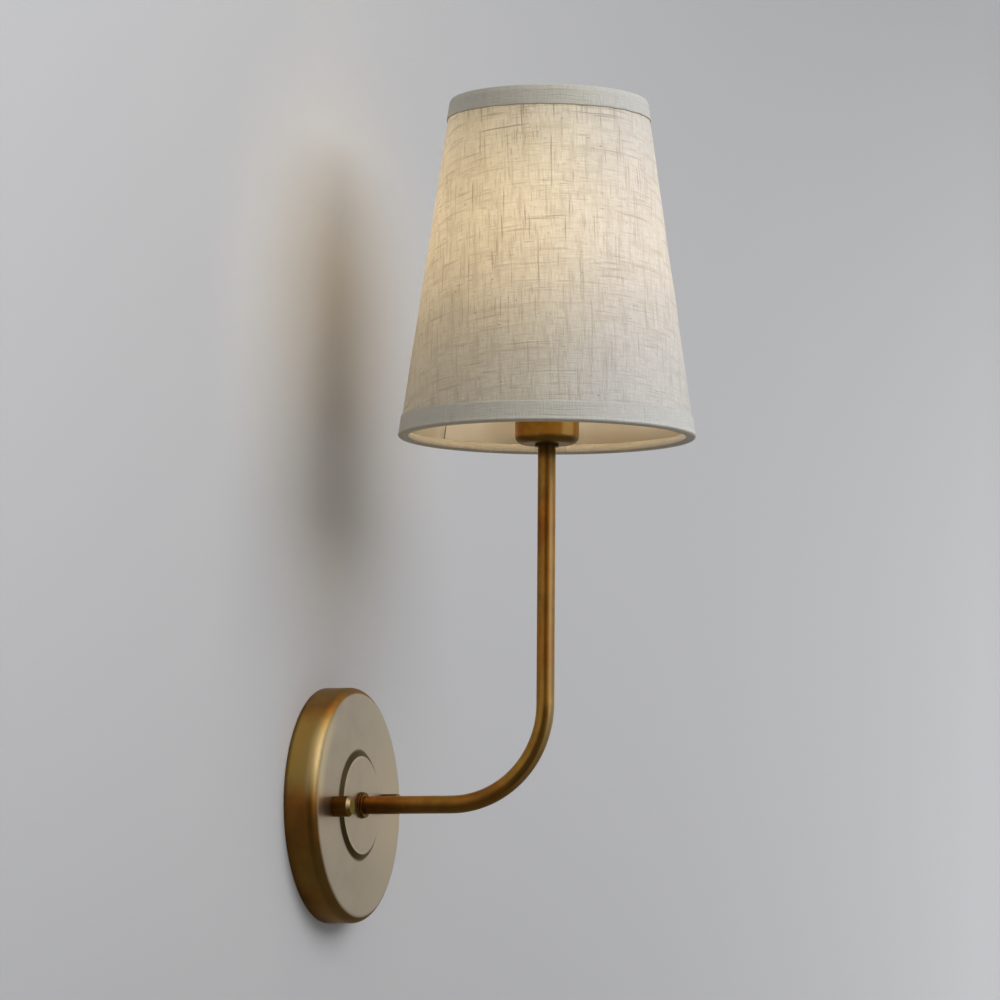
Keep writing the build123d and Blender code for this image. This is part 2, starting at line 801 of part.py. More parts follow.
def globe_profile(inset):
    """The half outline of the globe, closed along its foot and the lamp's axis."""
    join_r = side_arc_r - inset
    join = (side_centre_x + join_r * cos(tip_turn), belly_z + join_r * sin(tip_turn))
    foot_x = globe_foot_r - inset
    half = tip_turn / 2
    late = (tip_turn + radians(90)) / 2
    tip_r = globe_tip_r - inset
    foot_turn = asin(globe_belly_h / foot_arc_r) / 2
    foot_r = foot_arc_r - inset
    foot_mid_x = globe_r - foot_arc_r + foot_r * cos(foot_turn)
    with BuildSketch(stem_plane) as outline:
        with BuildLine():
            ThreePointArc(
                (foot_x, housing_top_z),
                (foot_mid_x, belly_z - foot_r * sin(foot_turn)),
                (globe_r - inset, belly_z),
            )
            ThreePointArc(
                (globe_r - inset, belly_z),
                (side_centre_x + join_r * cos(half), belly_z + join_r * sin(half)),
                join,
            )
            ThreePointArc(
                join,
                (tip_r * cos(late), belly_z + tip_centre_h + tip_r * sin(late)),
                (0, belly_z + tip_centre_h + tip_r),
            )
            Polyline((0, belly_z + tip_centre_h + tip_r), (0, housing_top_z), (foot_x, housing_top_z))
        make_face()
    return outline.sketch


with BuildPart() as bulb_globe:
    revolve(globe_profile(0), axis=stem_axis)
    revolve(globe_profile(globe_wall), axis=stem_axis, mode=Mode.SUBTRACT)
save(bulb_globe, "bulb_globe")

# ================================================================ shade ring nut
with BuildPart() as shade_ring_nut:
    with BuildSketch(level_plane(ring_nut_z)):
        Circle(ring_nut_d / 2)
        Circle(sleeve_r + fit, mode=Mode.SUBTRACT)
        with PolarLocations(ring_nut_d / 2, ring_nut_notches):
            Circle(ring_nut_notch_d / 2, mode=Mode.SUBTRACT)
    extrude(amount=ring_nut_h)
save(shade_ring_nut, "shade_ring_nut")

# ================================================================ shade frame
wire_r = shade_wire_d / 2
layers = fabric_t + liner_t + 2 * cloth_gap


def wire_place(edge_z, way):
    """Radius and height of a rim wire's centre; way is +1 at the lower rim and -1 at the upper."""
    z = edge_z + way * (band_t + cloth_gap + wire_r)
    return shade_r(z, layers + cloth_gap + wire_r), z


bottom_wire_r, bottom_wire_z = wire_place(shade_z, 1)
top_wire_r, top_wire_z = wire_place(shade_top_z, -1)

with BuildPart() as shade_bottom_wire:
    with BuildSketch(stem_plane):
        with Locations((bottom_wire_r, bottom_wire_z)):
            Circle(wire_r)
    revolve(axis=stem_axis)
save(shade_bottom_wire, "shade_bottom_wire")

carrier_r = carrier_d / 2
carrier_mid_z = carrier_z + carrier_t / 2
with BuildPart() as shade_top_frame:
    with BuildSketch(level_plane(carrier_z)):
        Circle(carrier_r)
        Circle(sleeve_r + loose, mode=Mode.SUBTRACT)
    extrude(amount=carrier_t)
    with BuildSketch(stem_plane):
        with Locations((top_wire_r, top_wire_z)):
            Circle(wire_r)
    revolve(axis=stem_axis)
    for arm in range(spider_arms):
        upright = radial_plane(spider_first_angle + arm * 360 / spider_arms)
        foot = upright.origin + upright.x_dir * (carrier_r - spider_weld) + Vector(0, 0, carrier_mid_z)
        with BuildLine(upright) as spider_run:
            FilletPolyline(
                (carrier_r - spider_weld, carrier_mid_z),
                (carrier_r + spider_foot_run, carrier_mid_z),
                (top_wire_r - spider_head_run, top_wire_z),
                (top_wire_r, top_wire_z),
                radius=spider_bend,
            )
        with BuildSketch(Plane(origin=foot, z_dir=upright.x_dir)):
            Circle(spider_wire_d / 2)
        sweep(path=spider_run.line)
save(shade_top_frame, "shade_top_frame")

# ================================================================ shade cloth
layer_z = shade_z + band_roll_r
layer_top_z = shade_top_z - band_roll_r


def cone_shell(inner, outer):
    """A closed cone wall between two insets from the linen's outer face."""
    with BuildSketch(stem_plane) as wall_half:
        with BuildLine():
            Polyline(
                (shade_r(layer_z, outer), layer_z),
                (shade_r(layer_top_z, outer), layer_top_z),
                (shade_r(layer_top_z, inner), layer_top_z),
                (shade_r(layer_z, inner), layer_z),
                close=True,
            )
        make_face()
    revolve(wall_half.sketch, axis=stem_axis)


with BuildPart() as shade_fabric:
    cone_shell(fabric_t, 0)
save(shade_fabric, "shade_fabric")

with BuildPart() as shade_liner:
    cone_shell(fabric_t + cloth_gap + liner_t, fabric_t + cloth_gap)
save(shade_liner, "shade_liner")


def trim_band(edge_z, way):
    """The hem tape at a rim: a face outside, a roll under the wire and a lap inside."""
    wire_at_r, wire_at_z = wire_place(edge_z, way)
    end_z = edge_z + way * band_h
    lap_z = edge_z + way * band_lap
    fold_z = edge_z + way * band_t
    bend_z = wire_at_z + way * wire_r / 2
    skin = -(cloth_gap + band_t)
    roll_r = wire_at_r - wire_r - cloth_gap - band_t
    with BuildSketch(stem_plane) as hem:
        with BuildLine():
            Polyline(
                (shade_r(end_z, skin), end_z),
                (shade_r(edge_z, skin), edge_z),
                (roll_r, edge_z),
                (roll_r, bend_z),
                (shade_r(lap_z, layers + cloth_gap + band_t), lap_z),
                (shade_r(lap_z, layers + cloth_gap), lap_z),
                (roll_r + band_t, bend_z),
                (roll_r + band_t, fold_z),
                (shade_r(fold_z, -cloth_gap), fold_z),
                (shade_r(end_z, -cloth_gap), end_z),
                close=True,
            )
        make_face()
        fillet(corner(hem, shade_r(edge_z, skin), edge_z), band_roll_r)
        fillet(corner(hem, roll_r, edge_z), band_roll_r)
        fillet(corner(hem, roll_r + band_t, fold_z), band_roll_r - band_t)
        fillet(corner(hem, shade_r(fold_z, -cloth_gap), fold_z), band_roll_r - band_t)
    revolve(hem.sketch, axis=stem_axis)


with BuildPart() as shade_bottom_band:
    trim_band(shade_z, 1)
save(shade_bottom_band, "shade_bottom_band")

notch_half = spider_wire_d / 2 + loose
with BuildPart() as shade_top_band:
    trim_band(shade_top_z, -1)
    with BuildSketch(level_plane(top_wire_z - notch_half)):
        with PolarLocations(top_wire_r - wire_r, spider_arms, start_angle=spider_first_angle):
            Rectangle(2 * wire_r, 2 * notch_half)
    extrude(amount=2 * notch_half, mode=Mode.SUBTRACT)
save(shade_top_band, "shade_top_band")
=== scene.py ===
"""The looks of the fabric shade wall light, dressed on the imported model.

Metres, in the frame of the CAD: the wall is the plane Y = 0, the lamp stands out along -Y, +Z is up.
The linen, its lining and the two hems are built here. Every other node keeps its CAD shape and gets a finish.
"""

from math import cos, pi, radians, sin, sqrt

import bpy
from mathutils import Matrix, Vector, noise


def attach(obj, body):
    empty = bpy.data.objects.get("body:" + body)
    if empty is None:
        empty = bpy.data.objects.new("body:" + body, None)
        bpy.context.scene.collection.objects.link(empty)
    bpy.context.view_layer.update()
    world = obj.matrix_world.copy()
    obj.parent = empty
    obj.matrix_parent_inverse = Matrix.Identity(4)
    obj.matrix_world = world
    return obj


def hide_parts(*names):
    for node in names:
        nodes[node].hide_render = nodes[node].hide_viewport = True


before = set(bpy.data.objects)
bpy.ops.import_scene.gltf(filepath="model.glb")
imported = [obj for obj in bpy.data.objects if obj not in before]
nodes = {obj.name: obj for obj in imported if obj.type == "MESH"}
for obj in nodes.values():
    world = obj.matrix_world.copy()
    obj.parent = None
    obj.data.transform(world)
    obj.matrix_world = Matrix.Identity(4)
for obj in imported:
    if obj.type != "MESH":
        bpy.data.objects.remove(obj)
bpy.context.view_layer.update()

# ---------------------------------------------------------------- sizes that the scene shares with the CAD
LAMP_Y = -0.117  # the upright axis of tube, lampholder and shade
PLATE_R = 0.060
SHADE_Z = 0.185  # the shade's lower rim
SHADE_TOP_Z = 0.358
SHADE_BOTTOM_R = 0.075
SHADE_TOP_R = 0.050
LINEN_T = 0.0007
LINING_T = 0.0005
GLUE = 0.0001  # between two layers
HEM_T = 0.0005
HEM_H = 0.0106
HEM_LAP = 0.005  # height of the hem inside the shade
HEM_ROLL = 0.0016  # outer radius of the roll round the rim
WIRE_R = 0.0012
SPIDER_ARMS = (30, 150, 270)  # degrees from +X

SHADE_H = SHADE_TOP_Z - SHADE_Z
CONE_SINE = (SHADE_BOTTOM_R - SHADE_TOP_R) / sqrt(SHADE_H**2 + (SHADE_BOTTOM_R - SHADE_TOP_R) ** 2)


def shade_r(z, inset=0.0):
    """Radius of the linen's outer face at a height, less an inset."""
    share = (z - SHADE_Z) / SHADE_H
    return SHADE_BOTTOM_R + (SHADE_TOP_R - SHADE_BOTTOM_R) * share - inset


def add_object(name, data):
    """A new object, linked to the scene."""
    thing = bpy.data.objects.new(name, data)
    bpy.context.scene.collection.objects.link(thing)
    return thing


# ================================================================ node trees
class Tree:
    """A node tree and short ways to wire it."""

    def __init__(self, tree):
        self.tree = tree

    def add(self, kind, **settings):
        node = self.tree.nodes.new(kind)
        for key, value in settings.items():
            setattr(node, key, value)
        return node

    def put(self, socket, value):
        """Link a socket to another, or set its value."""
        if isinstance(value, bpy.types.NodeSocket):
            self.tree.links.new(value, socket)
        else:
            socket.default_value = value

    def math(self, operation, a, b=0.0):
        node = self.add("ShaderNodeMath", operation=operation)
        self.put(node.inputs[0], a)
        self.put(node.inputs[1], b)
        return node.outputs[0]

    def chain(self, operation, values):
        """One operation over a row of values."""
        total = values[0]
        for value in values[1:]:
            total = self.math(operation, total, value)
        return total

    def times(self, *values):
        return self.chain("MULTIPLY", values)

    def plus(self, *values):
        return self.chain("ADD", values)

    def most(self, *values):
        return self.chain("MAXIMUM", values)

    def without(self, mask):
        return self.math("SUBTRACT", 1.0, mask)

    def length(self, a, b):
        return self.math("SQRT", self.plus(self.times(a, a), self.times(b, b)))

    def reach(self, x, y, way):
        """How far (x, y) reaches along a direction (x, y)."""
        return self.plus(self.times(x, way[0]), self.times(y, way[1]))

    def mix(self, share, a, b, blend="MIX"):
        node = self.add("ShaderNodeMix", data_type="RGBA", blend_type=blend)
        self.put(node.inputs["Factor"], share)
        self.put(node.inputs[6], a)
        self.put(node.inputs[7], b)
        return node.outputs[2]

    def multiplied(self, a, b):
        return self.mix(1.0, a, b, "MULTIPLY")

    def tinted(self, share, colour, tint):
        """A colour, multiplied by a tint where the share is 1."""
        return self.mix(share, colour, self.multiplied(colour, tint))

    def layered(self, colour, *layers):
        """A colour with others laid over it. A layer is (mask, strength, colour)."""
        for mask, strength, over in layers:
            colour = self.mix(self.times(mask, strength), colour, over)
        return colour

    def ramp(self, value, low, high, start=0.0, end=1.0):
        """value mapped smoothly from low..high to start..end."""
        node = self.add("ShaderNodeMapRange", interpolation_type="SMOOTHSTEP")
        self.put(node.inputs["Value"], value)
        self.put(node.inputs["From Min"], low)
        self.put(node.inputs["From Max"], high)
        self.put(node.inputs["To Min"], start)
        self.put(node.inputs["To Max"], end)
        return node.outputs["Result"]

    def within(self, value, *bands):
        """1 where the value is inside every band.

        A band is 0 at its first number and 1 at its second, or its third and fourth numbers there.
        """
        return self.times(*(self.ramp(value, *band) for band in bands))

    def axes(self, vector):
        node = self.add("ShaderNodeSeparateXYZ")
        self.put(node.inputs[0], vector)
        return node.outputs

    def dot(self, vector, way):
        node = self.add("ShaderNodeVectorMath", operation="DOT_PRODUCT")
        self.put(node.inputs[0], vector)
        self.put(node.inputs[1], way)
        return node.outputs["Value"]


class Look(Tree):
    """A material and short ways to wire its nodes."""

    def __init__(self, name):
        self.material = bpy.data.materials.new(name)
        self.material.use_nodes = True
        super().__init__(self.material.node_tree)
        self.tree.nodes.clear()
        self.output = self.add("ShaderNodeOutputMaterial")

    def place(self):
        """The piece's own coordinates: metres, in the frame of the CAD."""
        return self.add("ShaderNodeTexCoord").outputs["Object"]

    def cloth_place(self):
        """The place on the flat cloth, in metres."""
        return self.add("ShaderNodeUVMap", uv_map="cloth").outputs["UV"]

    def facing(self):
        """The three axes of the direction that the surface faces."""
        return self.axes(self.add("ShaderNodeNewGeometry").outputs["Normal"])

    def scaled(self, vector, scale, move=(0, 0, 0)):
        node = self.add("ShaderNodeMapping")
        self.put(node.inputs["Vector"], vector)
        self.put(node.inputs["Scale"], scale)
        self.put(node.inputs["Location"], move)
        return node.outputs["Vector"]

    def noise(self, vector, scale=(1, 1, 1), detail=2.0, roughness=0.5, move=(0, 0, 0)):
        """Noise whose grain is 1 / scale metres along each axis."""
        node = self.add("ShaderNodeTexNoise")
        self.put(node.inputs["Vector"], self.scaled(vector, scale, move))
        self.put(node.inputs["Scale"], 1.0)
        self.put(node.inputs["Detail"], detail)
        self.put(node.inputs["Roughness"], roughness)
        return node.outputs["Fac"]

    def bump(self, height, distance, strength=1.0):
        node = self.add("ShaderNodeBump")
        self.put(node.inputs["Height"], height)
        self.put(node.inputs["Distance"], distance)
        self.put(node.inputs["Strength"], strength)
        return node.outputs["Normal"]

    def principled(self, **values):
        """A Principled shader. Keys are its sockets' names with _ for a space."""
        node = self.add("ShaderNodeBsdfPrincipled")
        for key, value in values.items():
            self.put(node.inputs[key.replace("_", " ")], value)
        return node.outputs[0]

    def translucent(self, colour):
        node = self.add("ShaderNodeBsdfTranslucent")
        self.put(node.inputs["Color"], colour)
        return node.outputs[0]

    def shared(self, share, a, b):
        """Two shaders mixed: the first where the share is 0, the second where it is 1."""
        node = self.add("ShaderNodeMixShader")
        for socket, value in zip(node.inputs, (share, a, b)):
            self.put(socket, value)
        return node.outputs[0]

    def finish(self, shader):
        self.put(self.output.inputs["Surface"], shader)
        return self.material


def rgb(red, green, blue):
    """A linear colour from display values of 0 to 255."""
    def linear(v):
        v /= 255
        return v / 12.92 if v <= 0.04045 else ((v + 0.055) / 1.055) ** 2.4
    return (linear(red), linear(green), linear(blue), 1.0)


WHITE = (1, 1, 1, 1)
CLOUDS = (0.3, 0.7)  # the usual spread of a noise

# ================================================================ brass
# Its colours. Where there are two, they are those of its darker and its lighter clouds.
REDDISH = ((0.30, 0.100, 0.006, 1), (0.48, 0.170, 0.010, 1))
OLIVE = ((0.31, 0.150, 0.016, 1), (0.47, 0.240, 0.034, 1))
# The plate's face: brass rubbed pale, with a painted sheen of the light it catches at a grazing angle; more
# painted sheen on its right and top, painted shade low down, a painted highlight on its shoulder.
RUBBED_AND_SHEEN = ((0.298, 0.214, 0.130, 1), (0.355, 0.263, 0.165, 1))
FACE_RIGHT_SHEEN = (0.44, 0.335, 0.19, 1)
FACE_TOP_COOL_SHEEN = (0.93, 0.97, 1.08, 1)
FACE_LOW_SHADE = (0.82, 0.82, 0.84, 1)
SHOULDER_HIGHLIGHT = (0.56, 0.44, 0.22, 1)
# The plate's edge: a painted highlight on its upper left and painted shade on its lower part; its rim: a
# painted highlight, dimmer at its back and its front.
EDGE_LIT = (0.46, 0.31, 0.075, 1)
EDGE_LOWER_SHADE = (0.062, 0.034, 0.008, 1)
RIM_BACK = (0.36, 0.265, 0.095, 1)
RIM_HIGHLIGHT = (0.64, 0.46, 0.20, 1)
RIM_FRONT = (0.33, 0.24, 0.115, 1)
# Painted highlights down the cup and the upright tube, a painted dark reflection down the tube's middle, and
# inside the bend a painted dark reflection and a painted highlight.
CUP_HIGHLIGHT = (0.75, 0.58, 0.25, 1)
TUBE_HIGHLIGHT = (0.27, 0.19, 0.09, 1)
TUBE_DARK_REFLECTION = (0.19, 0.065, 0.003, 1)
BEND_DARK_REFLECTION = (0.13, 0.055, 0.005, 1)
BEND_HIGHLIGHT = (0.40, 0.29, 0.12, 1)
# Painted shade: underneath, in the step, along the wall, under the cup, at the plate's crown, and over the
# nuts, collar and seat ring.
PAINTED_SHADE = (0.047, 0.024, 0.004, 1)
STEP_SHADE = (0.048, 0.035, 0.018, 1)
# A painted highlight on the boss's ring.
RIDGE_HIGHLIGHT = (0.60, 0.44, 0.17, 1)
NUT_TIP = (0.165, 0.145, 0.08, 1)
# A painted highlight on the nuts' flat cap.
NUT_CAP_HIGHLIGHT = (0.31, 0.26, 0.055, 1)
REFLECTION_TINT = (1.0, 0.88, 0.66, 1)

# Its bands, for Tree.within. X, Y and Z are the axes of the CAD and R is the distance from the plate's
# middle, in metres. FACING is a cosine: how far the surface faces along an axis, or along a stripe's WAY,
# which is an angle from +X.
# The plate: its flat face and the face's shoulder on the left, its edge, and the rounded rim between them.
FACE_Y = ((-0.0155, -0.0165), (-0.0200, -0.0190))
FACE_FACING_Y = (-0.90, -0.98)
FACE_RIGHT_X = (-0.010, 0.050, 0.0, 0.7)
FACE_TOP_Z = (0.010, 0.040)
FACE_LOW_Z = (-0.008, -0.040)
SHOULDER_R = (0.046, 0.054)
SHOULDER_X = (-0.020, -0.045)
SHOULDER_Z = ((0.050, 0.035), (-0.010, 0.008, 0.0, 0.8))
EDGE_R = (0.050, 0.054)
EDGE_Y = (-0.0195, -0.0180)
EDGE_FACING_Y = (-0.985, -0.90)
EDGE_LIT_Z = ((-0.002, 0.012), (0.050, 0.036))
EDGE_LOWER_Z = (0.022, -0.014)
EDGE_CROWN_Z = (0.040, 0.058)
EDGE_FOOT_Y = (-0.0024, -0.0006, 0.0, 0.6)
RIM_Y = (-0.0070, -0.0135)
RIM_LIT_Z = ((-0.004, 0.012), (0.046, 0.030))
RIM_MIDDLE_Y = (-0.0095, -0.0130)
RIM_FRONT_Y = (-0.0136, -0.0153)
# The boss's ring and the step down from it, whose painted shade ends further in on the right.
BOSS_R = ((0.0196, 0.0200), (0.0260, 0.0256))
RIDGE_R = ((0.0237, 0.0241), (0.0251, 0.0247))
RIDGE_X = (0.010, -0.012)
STEP_INNER_R = (0.0249, 0.0254)
STEP_OUTER_R = 0.0277
STEP_END_X = (0.000, 0.014, 0.0291, 0.0279)
# The thumb nuts' chamfered tip and flat cap.
NUT_END_Y = ((-0.0246, -0.0250), (-0.030, -0.028))
TIP_FACING_Y = (-0.97, -0.90)
TIP_FACING_Z = (-0.35, 0.0)
CAP_FACING_Y = (-0.90, -0.97)
# The arm: a painted highlight down the cup, a painted highlight and a painted dark reflection down the upright
# tube, and inside the bend a painted dark reflection and a painted highlight.
CUP_HIGHLIGHT_WAY = radians(241.5)
CUP_HIGHLIGHT_FACING = (0.955, 0.992)
CUP_Z = (0.180, 0.186)
TUBE_HIGHLIGHT_WAY = radians(236)
TUBE_HIGHLIGHT_FACING = (0.92, 0.985)
TUBE_DARK_REFLECTION_WAY = radians(208)
TUBE_DARK_REFLECTION_FACING = (0.93, 0.985)
UPRIGHT_Z = ((0.030, 0.060), (0.180, 0.176))
NECK_Z = ((0.1720, 0.1785), (0.1830, 0.1815))
BEND_MIDDLE_Y = -0.067  # the bend is an arc about this middle
BEND_MIDDLE_Z = 0.050
BEND_Y = (-0.060, -0.075)
BEND_Z = ((0.056, 0.044), (0.003, 0.012))
BEND_DARK_REFLECTION_FAR = ((0.0494, 0.0510), (0.0537, 0.0527))
BEND_HIGHLIGHT_FAR = (0.0527, 0.0537)
BEND_HIGHLIGHT_Z = (0.006, 0.044, 0.2, 1.0)
LOW_ARM_Z = (0.014, 0.005)
LOW_ARM_Y = (-0.0200, -0.0215)
UNDER_FACING_Z = (0.05, -0.50, 0.0, 0.82)
LOW_ARM_FACING_Z = (0.48, -0.42, 0.0, 0.82)

# How strong the painted shade is in places, out of 1.
STEP_SHADE_STRENGTH = 0.97
NECK_SHADE_STRENGTH = 0.9
CROWN_SHADE_STRENGTH = 0.55
LOWER_EDGE_SHADE_STRENGTH = 0.68
LOWER_RIM_SHADE_STRENGTH = 0.85
LESS_SHADE_AND_LACQUER = 0.85  # how much less painted shade there is along the bend's painted highlight, and how much less lacquer in the step

BRASS_CLOUDS = (0.32, 0.68)
BRASS_DRIFT = (0.38, 0.62)
BRASS_ROUGHNESS = (0.40, 0.44)
FACE_ROUGHER = -0.10
RIM_ROUGHER = 0.10
GRAIN_ROUGHER = 0.008
LACQUER = (0.2, 0.9, 0.32, 0.08)  # the more painted shade, the less the lacquer shines


def rubbed_brass_and_sheen(look, cloud, x, z, out):
    """The pale face of the plate, where the patina is rubbed off and a painted sheen is laid on: lighter on
    the right and cooler on top, with painted shade low down and a painted highlight on the left shoulder.
    """
    colour = look.mix(look.ramp(cloud, *CLOUDS), *RUBBED_AND_SHEEN)
    colour = look.mix(look.ramp(x, *FACE_RIGHT_X), colour, FACE_RIGHT_SHEEN)
    tint = look.mix(look.ramp(z, *FACE_TOP_Z), WHITE, FACE_TOP_COOL_SHEEN)
    tint = look.mix(look.ramp(z, *FACE_LOW_Z), tint, FACE_LOW_SHADE)
    shoulder = look.times(
        look.within(out, SHOULDER_R), look.within(x, SHOULDER_X), look.within(z, *SHOULDER_Z)
    )
    return look.mix(shoulder, look.multiplied(colour, tint), SHOULDER_HIGHLIGHT)


def aged_brass(name, darkness=0.0):
    """Lacquered brass, rubbed pale on the plate's face, with painted light: painted highlights, painted dark
    reflections and a dark brown painted shade underneath and in the steps.

    darkness is how strong the painted shade is all over the piece, but for a nut's tip, as on the thumb nuts,
    the collar and the seat ring.
    """
    look = Look(name)
    times, most, within = look.times, look.most, look.within
    place = look.place()
    x, y, z = look.axes(place)
    facing_x, facing_y, facing_z = look.facing()
    out = look.length(x, z)
    cloud = look.noise(place, (70, 70, 70), detail=4.0, roughness=0.6)
    drift = look.noise(place, (20, 20, 20), detail=2.0, move=(2, 4, 6))
    fine = look.noise(place, (1100, 1100, 1100), detail=2.0, roughness=0.6)

    # where the parts of the pieces are, each from 0 to 1
    forward = within(y, *FACE_Y)
    face = times(within(facing_y, FACE_FACING_Y), forward)
    edge = times(within(out, EDGE_R), within(y, EDGE_Y), within(facing_y, EDGE_FACING_Y))
    rim = times(edge, within(y, RIM_Y))
    boss = times(within(out, *BOSS_R), forward)
    # where the painted highlight goes on the boss's ring
    ridge = times(within(out, *RIDGE_R), forward, within(x, RIDGE_X))
    step_end = look.ramp(x, *STEP_END_X)
    step = times(within(out, STEP_INNER_R, (step_end, STEP_OUTER_R)), forward, STEP_SHADE_STRENGTH)

    def stripe(way, facing, *heights):
        """1 where an upright surface faces a way, which is an angle from +X, between heights."""
        towards = look.reach(facing_x, facing_y, (cos(way), sin(way)))
        return times(within(towards, facing), within(z, *heights))

    # inside the bend: a painted dark reflection and a painted highlight
    bend_far = look.length(
        look.math("SUBTRACT", y, BEND_MIDDLE_Y), look.math("SUBTRACT", z, BEND_MIDDLE_Z)
    )
    in_bend = times(within(z, *BEND_Z), within(y, BEND_Y))
    bend_dark_reflection = times(within(bend_far, *BEND_DARK_REFLECTION_FAR), in_bend)
    bend_highlight = times(within(bend_far, BEND_HIGHLIGHT_FAR), in_bend, within(z, BEND_HIGHLIGHT_Z))

    # the brass where the painted shade is thin, with painted highlights and painted dark reflections laid over
    # it
    tone = look.ramp(cloud, *BRASS_CLOUDS)
    red, olive = look.mix(tone, *REDDISH), look.mix(tone, *OLIVE)
    rim_highlight_colour = look.mix(look.ramp(y, *RIM_MIDDLE_Y), RIM_BACK, RIM_HIGHLIGHT)
    rim_highlight_colour = look.mix(look.ramp(y, *RIM_FRONT_Y), rim_highlight_colour, RIM_FRONT)
    colour = look.layered(
        look.mix(look.ramp(drift, *BRASS_DRIFT), red, olive),
        # painted highlights on the upper left of the plate's edge and on its rim
        (times(edge, within(z, *EDGE_LIT_Z)), 0.75, EDGE_LIT),
        (times(rim, within(z, *RIM_LIT_Z)), 0.85, rim_highlight_colour),
        # a painted highlight down the cup; a painted highlight and a painted dark reflection down the tube; in
        # the bend a painted dark reflection and a painted highlight
        (stripe(CUP_HIGHLIGHT_WAY, CUP_HIGHLIGHT_FACING, CUP_Z), 0.6, CUP_HIGHLIGHT),
        (stripe(TUBE_HIGHLIGHT_WAY, TUBE_HIGHLIGHT_FACING, *UPRIGHT_Z), 0.7, TUBE_HIGHLIGHT),
        (stripe(TUBE_DARK_REFLECTION_WAY, TUBE_DARK_REFLECTION_FACING, *UPRIGHT_Z), 0.6, TUBE_DARK_REFLECTION),
        (bend_dark_reflection, 0.75, BEND_DARK_REFLECTION),
        (bend_highlight, 0.85, BEND_HIGHLIGHT),
    )
    colour = look.mix(most(face, boss), colour, rubbed_brass_and_sheen(look, cloud, x, z, out))

    # painted shade: underneath, on the arm's lower half, in the step, along the wall, at the plate's crown and
    # under the cup
    painted_shade = most(
        times(within(facing_z, UNDER_FACING_Z), look.without(times(bend_highlight, LESS_SHADE_AND_LACQUER))),
        times(within(z, LOW_ARM_Z), within(y, LOW_ARM_Y), within(facing_z, LOW_ARM_FACING_Z)),
        step,
        within(y, EDGE_FOOT_Y),
        times(within(z, EDGE_CROWN_Z), edge, CROWN_SHADE_STRENGTH),
        times(within(z, *NECK_Z), NECK_SHADE_STRENGTH),
    )
    # painted shade over the whole piece, but for a nut's lit tip
    if darkness:
        nut_end = within(y, *NUT_END_Y)
        tip = times(nut_end, within(facing_y, TIP_FACING_Y), within(facing_z, TIP_FACING_Z))
        cap = times(nut_end, within(facing_y, CAP_FACING_Y))
        painted_shade = most(painted_shade, times(look.without(tip), darkness))
    # painted shade on the lower part of the plate's edge and rim
    lower = most(times(edge, LOWER_EDGE_SHADE_STRENGTH), times(rim, LOWER_RIM_SHADE_STRENGTH))
    lower = times(within(z, EDGE_LOWER_Z), lower)
    colour = look.mix(lower, colour, EDGE_LOWER_SHADE)
    colour = look.mix(times(painted_shade, look.without(lower)), colour, PAINTED_SHADE)
    # painted shade in the step
    colour = look.mix(step, colour, STEP_SHADE)
    colour = look.layered(colour, (ridge, 0.5, RIDGE_HIGHLIGHT))
    # a nut's tip in its own colour, and a painted highlight on its flat cap
    if darkness:
        colour = look.layered(colour, (tip, 0.85, NUT_TIP), (cap, 0.85, NUT_CAP_HIGHLIGHT))

    rough = look.plus(
        look.ramp(cloud, *CLOUDS, *BRASS_ROUGHNESS), times(face, FACE_ROUGHER), times(rim, RIM_ROUGHER),
        look.ramp(fine, *CLOUDS, -GRAIN_ROUGHER, GRAIN_ROUGHER),
    )
    lacquer = most(face, look.ramp(most(painted_shade, lower), *LACQUER))
    return look.finish(look.principled(
        Base_Color=colour, Metallic=1.0, Roughness=rough, Normal=look.bump(fine, 0.000003, 0.3),
        Specular_Tint=REFLECTION_TINT, Coat_Weight=times(lacquer, look.without(times(step, LESS_SHADE_AND_LACQUER))),
        Coat_Roughness=0.30, Coat_IOR=1.5,
    ))


# ================================================================ other metals, plastics, ceramic, glass
DIRT_TONE = 0.88
BULB_STRENGTH = 11.0
BULB_WARMER_Z = (0.25, 0.30)
BULB_FOOT = (1.0, 0.78, 0.52, 1)
BULB_TIP = (1.0, 0.86, 0.66, 1)


def plain_metal(name, dark, light, roughness):
    look = Look(name)
    place = look.place()
    patch = look.noise(place, (90, 90, 90), detail=3.0)
    fine = look.noise(place, (700, 700, 700), detail=2.0, roughness=0.6)
    return look.finish(look.principled(
        Base_Color=look.mix(look.ramp(patch, *CLOUDS), dark, light), Metallic=1.0,
        Roughness=look.ramp(fine, *CLOUDS, roughness - 0.07, roughness + 0.07),
        Normal=look.bump(fine, 0.00002, 0.5),
    ))


def moulded(name, colour, roughness, **more):
    """A smooth finish whose colour is a little dirty in patches."""
    look = Look(name)
    place = look.place()
    patch = look.noise(place, (60, 60, 60), detail=2.0)
    skin = look.noise(place, (1800, 1800, 1800), detail=1.0)
    darker = tuple(c * DIRT_TONE for c in colour[:3]) + (1.0,)
    return look.finish(look.principled(
        Base_Color=look.mix(look.ramp(patch, *CLOUDS), darker, colour),
        Roughness=look.ramp(skin, *CLOUDS, roughness - 0.05, roughness + 0.05),
        Normal=look.bump(skin, 0.00002, 0.4), **more
    ))


def frosted_glass():
    """The lit globe, a little warmer towards its foot."""
    look = Look("frosted_glass")
    place = look.place()
    grain = look.noise(place, (1500, 1500, 1500), detail=1.0)
    glow = look.mix(look.ramp(look.axes(place)[2], *BULB_WARMER_Z), BULB_FOOT, BULB_TIP)
    return look.finish(look.principled(
        Base_Color=rgb(238, 232, 220), Roughness=look.ramp(grain, *CLOUDS, 0.30, 0.45),
        Normal=look.bump(grain, 0.00002, 0.3), Emission_Color=glow, Emission_Strength=BULB_STRENGTH,
    ))


